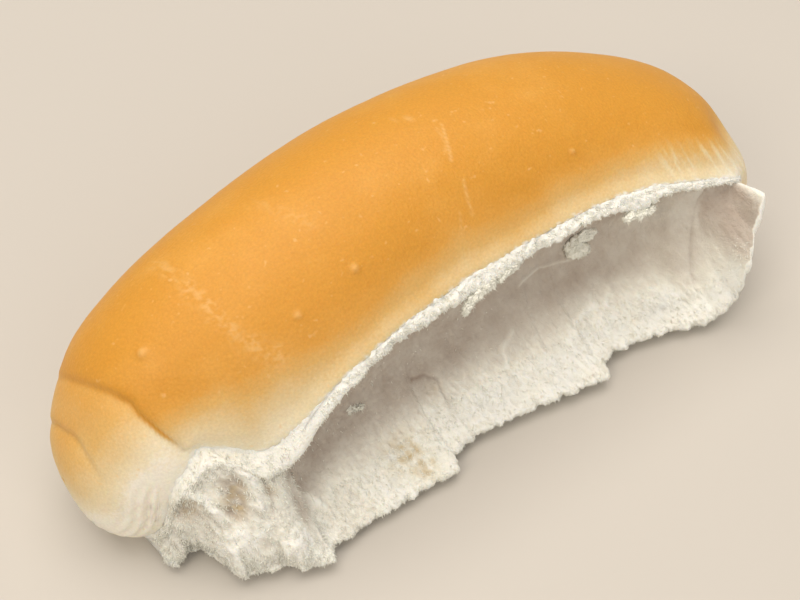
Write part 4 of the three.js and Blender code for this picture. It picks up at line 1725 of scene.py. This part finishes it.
class Fibres(Shreds):
    """Fine torn threads of crumb, each a thin tapering sliver of three sides."""

    BEDS = (
        FibreBed(
            7500, ((-66, 1), (-46, 1), (-41, 0.3), (-38, 0)), (0.06, 0.97),
            (0.3, 1.0), (0.16, 0.34), (0.15, 1), 0.9,
        ),
        FibreBed(
            2600, ((-66, 1), (-46, 1), (-42, 0)), (0.07, 0.2),
            (0.4, 1.0), (0.18, 0.32), (0, 0.4), 0.4,
        ),
        FibreBed(
            6500, ((-66, 1), (-36, 1), (-20, 0.7), (52, 0.7), (57, 0)), (0.76, 0.96),
            (0.3, 0.9), (0.14, 0.28), (0, 0.45), 0.6,
        ),
        FibreBed(
            3600, ((-66, 1), (50, 1), (55, 0.4), (57, 0)), (0.88, 0.965),
            (0.3, 0.75), (0.14, 0.26), (-0.1, 0.3), 0.5,
        ),
        FibreBed(
            400, ((-50, 0), (-40, 1), (-10, 0.6), (20, 0)), (0.3, 0.75),
            (0.3, 0.8), (0.12, 0.22), (0.05, 0.4), 0.6,
        ),
        FibreBed(
            2600, ((-46, 0.2), (-30, 0.8), (50, 0.9), (56, 0.2)), (0.05, 0.17),
            (0.3, 0.7), (0.16, 0.32), (0.2, 1), 1,
        ),
    )  # fmt: skip
    FUZZ = FibreBed(3000, ((0, 1),), (0, 1), (0.25, 0.7), (0.12, 0.24), (0.4, 1.2), 0.8)
    REACH = 33.5  # no fibre stands further out from the bun's middle line, in millimetres
    ROOT = 0.12  # how deep a fibre is rooted
    TAPER = (0.5, 0.36)  # its half width at the root and half way up, as shares of its width
    CORNERS = (0.0, 2.1, 4.2)
    SIDEWAYS = 0.22
    OUTWARDS = (-0.1, 0.3)
    FACES = np.array([
        (0, 2, 1), (0, 1, 4), (0, 4, 3), (1, 2, 5), (1, 5, 4), (2, 0, 3), (2, 3, 5),
        (3, 4, 6), (4, 5, 6), (5, 3, 6),
    ])  # fmt: skip

    def build(self, clots: np.ndarray) -> bpy.types.Object:
        """Set all beds of fibres, and fuzz on the clots.

        Args:
            clots: points of the clots, one row for each clot.

        Returns:
            The piece.
        """
        beds = [self._slivers(bed, *self.spots(bed.tries, bed.share, bed.strip)) for bed in self.BEDS]
        beds.append(self._slivers(self.FUZZ, *self._around(clots)))
        return self.piece("crumb_fibres", np.concatenate(beds), self.FACES)

    def _around(self, clots: np.ndarray) -> tuple[np.ndarray, ...]:
        """Draw places on the clots.

        Args:
            clots: points of the clots, one row for each clot.

        Returns:
            Places, and the directions down, along and outwards there.
        """
        number = self.draw.integers(0, len(clots), self.FUZZ.tries)
        place = clots[number, self.draw.integers(0, clots.shape[1], self.FUZZ.tries)]
        out = unit(place - clots.mean(1)[number])
        along = unit(np.cross(out, self.draw.normal(0, 1, out.shape)))
        return place, np.cross(out, along), along, out

    def _slivers(
        self, bed: FibreBed, place: np.ndarray, down: np.ndarray, along: np.ndarray, out: np.ndarray
    ) -> np.ndarray:
        """Shape one bed's fibres, without those that stand out further than REACH.

        Args:
            bed: the sizes.
            place: where the fibres stand.
            down: which way they hang there.
            along: across that.
            out: away from the surface.

        Returns:
            Seven points for each fibre.
        """
        count = len(place)
        lean = self.draw.uniform(*bed.lean, (count, 1))
        side = self.draw.normal(0, bed.spread, (count, 1))
        heading = unit(down + side * along + lean * out)
        length = self.draw.uniform(*bed.length, (count, 1))
        width = self.draw.uniform(*bed.width, (count, 1))
        across = unit(np.cross(heading, out))
        third = unit(np.cross(heading, across))
        bend = self.draw.normal(0, self.SIDEWAYS, (count, 1)) * across
        bend += self.draw.uniform(*self.OUTWARDS, (count, 1)) * out
        root = place - self.ROOT * out
        middle = place + 0.5 * length * heading
        tip = place + length * (heading + bend)
        ring = [math.cos(turn) * across + math.sin(turn) * third for turn in self.CORNERS]
        levels = zip((root, middle), self.TAPER)
        corners = [level + taper * width * side for level, taper in levels for side in ring]
        return np.stack([*corners, tip], 1)[tip[:, 1] > -self.REACH]


@dataclass(frozen=True)
class Clot:
    """A soft clot of crumb: its middle, its half sizes along the bun, out and up, and how it slopes."""

    at: tuple[float, float, float]
    size: tuple[float, float, float]
    slope: float = 0.0

    LUMPS = (0.9, 0.9, 0.9)  # grains, as shares of the clot
    PILLS = (0.4, 0.4, 0.4)

    def shape(self, ball: np.ndarray, seed: float) -> np.ndarray:
        """Points of the clot.

        Args:
            ball: points of a ball of radius 1.
            seed: moves the noise, so that no two clots are alike.

        Returns:
            The points, in millimetres.
        """
        lumpy = 1 + Uneven(0.35, self.LUMPS, seed).over(ball)
        ragged = ball * np.array(self.size) * lumpy[:, None]
        rough = Uneven(0.35, self.LUMPS, seed + 0.5).over(ragged)
        rough += Uneven(0.3, self.PILLS, seed).over(ragged)
        ragged += ball * rough[:, None]
        turn = Matrix.Rotation(-self.slope, 3, "Y")
        return np.array(self.at) + ragged @ np.array(turn).T


class Clots(Shreds):
    """Clots that hang under the broken edge or stick to the torn face."""

    SEEDS = (30.0, 3.0)  # the first clot's seed, and the step to the next one's
    SMOOTHNESS = 5

    ALL = (
        Clot((29.2, -10.6, 20.0), (2.1, 2.0, 1.7)),
        Clot((27.8, -10.2, 21.2), (1.3, 1.3, 1.2)),
        Clot((30.7, -10.8, 19.2), (1.4, 1.5, 1.2)),
        Clot((31.4, -10.5, 22.6), (2.2, 1.3, 1.6)),
        Clot((29.0, -9.9, 22.0), (1.6, 1.2, 1.4)),
        Clot((8.6, -15.6, 35.0), (1.2, 0.7, 0.7), 0.05),
        Clot((7.2, -15.8, 34.7), (1.4, 0.8, 0.8), 0.1),
        Clot((5.6, -15.9, 34.5), (1.3, 0.8, 0.9), 0.1),
        Clot((4.0, -16.0, 34.1), (1.5, 0.8, 0.8), 0.15),
        Clot((2.2, -16.1, 34.3), (1.4, 0.8, 1.3), 0.2),
        Clot((0.6, -16.2, 34.0), (1.3, 0.8, 1.3), 0.25),
        Clot((-1.0, -16.3, 33.6), (1.3, 0.7, 1.3), 0.3),
        Clot((-2.5, -16.4, 33.2), (1.1, 0.6, 1.2), 0.3),
        Clot((-3.6, -16.6, 32.4), (0.8, 0.5, 1.1), 0.5),
        Clot((-4.2, -16.7, 31.6), (0.5, 0.4, 0.8), 0.3),
        Clot((34.4, -18.0, 31.6), (1.5, 0.8, 0.9), -0.1),
        Clot((36.4, -18.4, 31.4), (1.7, 0.9, 0.9), -0.1),
        Clot((38.6, -18.8, 31.2), (1.6, 0.8, 0.8), -0.15),
        Clot((-24.2, -11.2, 13.9), (0.9, 0.5, 0.6), 0.4),
        Clot((-25.8, -11.0, 14.4), (1.0, 0.5, 0.7), 0.2),
    )

    def build(self) -> np.ndarray:
        """Shape all clots from one ball.

        Returns:
            Their points in millimetres, one row for each clot.
        """
        bpy.ops.object.select_all(action="DESELECT")
        bpy.ops.mesh.primitive_ico_sphere_add(subdivisions=self.SMOOTHNESS, radius=1.0)
        pattern = bpy.context.active_object
        ball = np.array([vertex.co for vertex in pattern.data.vertices])
        faces = np.array([face.vertices for face in pattern.data.polygons])
        bpy.data.objects.remove(pattern, do_unlink=True)
        first, step = self.SEEDS
        shapes = np.stack([clot.shape(ball, first + step * number) for number, clot in enumerate(self.ALL)])
        self.piece("crumb_clots", shapes, faces)
        return shapes


# ----------------------------------------------------------------------------------- studio


BUN_MIDDLE = (0.0, 0.0, 0.02)


@dataclass(frozen=True)
class Lamp:
    """A soft square lamp."""

    name: str
    at: tuple[float, float, float]
    size: float
    power: float
    colour: str

    def light(self) -> None:
        """Add the lamp, turned towards the bun."""
        data = bpy.data.lights.new(self.name, "AREA")
        data.size = self.size
        data.energy = self.power
        data.color = linear(self.colour)[:3]
        lamp = bpy.data.objects.new(self.name, data)
        bpy.context.scene.collection.objects.link(lamp)
        lamp.location = self.at
        towards = Vector(BUN_MIDDLE) - Vector(self.at)
        lamp.rotation_euler = towards.to_track_quat("-Z", "Y").to_euler()


@dataclass(frozen=True)
class Studio:
    """A pale floor, soft lamps and the camera."""

    camera_at: tuple[float, float, float] = (-0.10039, -0.12546, 0.20751)
    camera_on: tuple[float, float, float] = (-0.006, -0.0002, 0.0206)
    roll: float = math.radians(-0.9)
    lens: float = 58.5
    floor_width: float = 3.0
    floor_colour: str = "#c9c4bc"
    wall_colour: str = "#f3f1ee"
    wall_light: float = 0.3
    lamps: tuple[Lamp, ...] = (
        Lamp("top", (0.05, 0.25, 1.2), 1.3, 15.6, "#fff6ec"),
        Lamp("key", (-0.9, -0.25, 0.9), 0.5, 4.0, "#fff3e2"),
        Lamp("fill", (-0.1, -1.0, 0.75), 0.9, 3.7, "#fff8f0"),
    )

    def build(self) -> None:
        """Set the whole studio up."""
        self._camera()
        self._floor()
        for lamp in self.lamps:
            lamp.light()
        world = bpy.data.worlds.new("studio")
        world.use_nodes = True
        walls = world.node_tree.nodes["Background"]
        walls.inputs["Color"].default_value = linear(self.wall_colour)
        walls.inputs["Strength"].default_value = self.wall_light
        bpy.context.scene.world = world
        bpy.context.scene.view_settings.view_transform = "Standard"

    def _camera(self) -> None:
        """Stand the camera where the photo was taken from."""
        data = bpy.data.cameras.new("camera")
        data.lens = self.lens
        data.sensor_width = 36.0
        data.clip_start = 0.01
        camera = bpy.data.objects.new("camera", data)
        bpy.context.scene.collection.objects.link(camera)
        looking = Vector(self.camera_on) - Vector(self.camera_at)
        turn = looking.to_track_quat("-Z", "Y").to_matrix() @ Matrix.Rotation(self.roll, 3, "Z")
        camera.matrix_world = Matrix.Translation(self.camera_at) @ turn.to_4x4()
        bpy.context.scene.camera = camera

    def _floor(self) -> None:
        """Lay the floor."""
        bpy.ops.object.select_all(action="DESELECT")
        bpy.ops.mesh.primitive_plane_add(size=self.floor_width, location=(0, 0, 0))
        floor = bpy.context.active_object
        floor.name = "floor"
        material = bpy.data.materials.new("pale_floor")
        material.use_nodes = True
        shader = material.node_tree.nodes["Principled BSDF"]
        shader.inputs["Base Color"].default_value = linear(self.floor_colour)
        shader.inputs["Roughness"].default_value = 0.8
        floor.data.materials.append(material)


CLOT_SEED, FIBRE_SEED = 12, 11


def main() -> None:
    """Build the studio and the bun; each piece logs its face count."""
    logging.basicConfig(level=logging.INFO, format="%(name)s: %(message)s")
    Studio().build()
    loaf, tear = Loaf(), Tear()
    Crust().build(loaf, tear)
    relief, front = Crumb().build(loaf, tear)
    clots = Clots(relief, front, CLOT_SEED).build()
    Fibres(relief, front, FIBRE_SEED).build(clots)


if __name__ == "__main__":
    main()
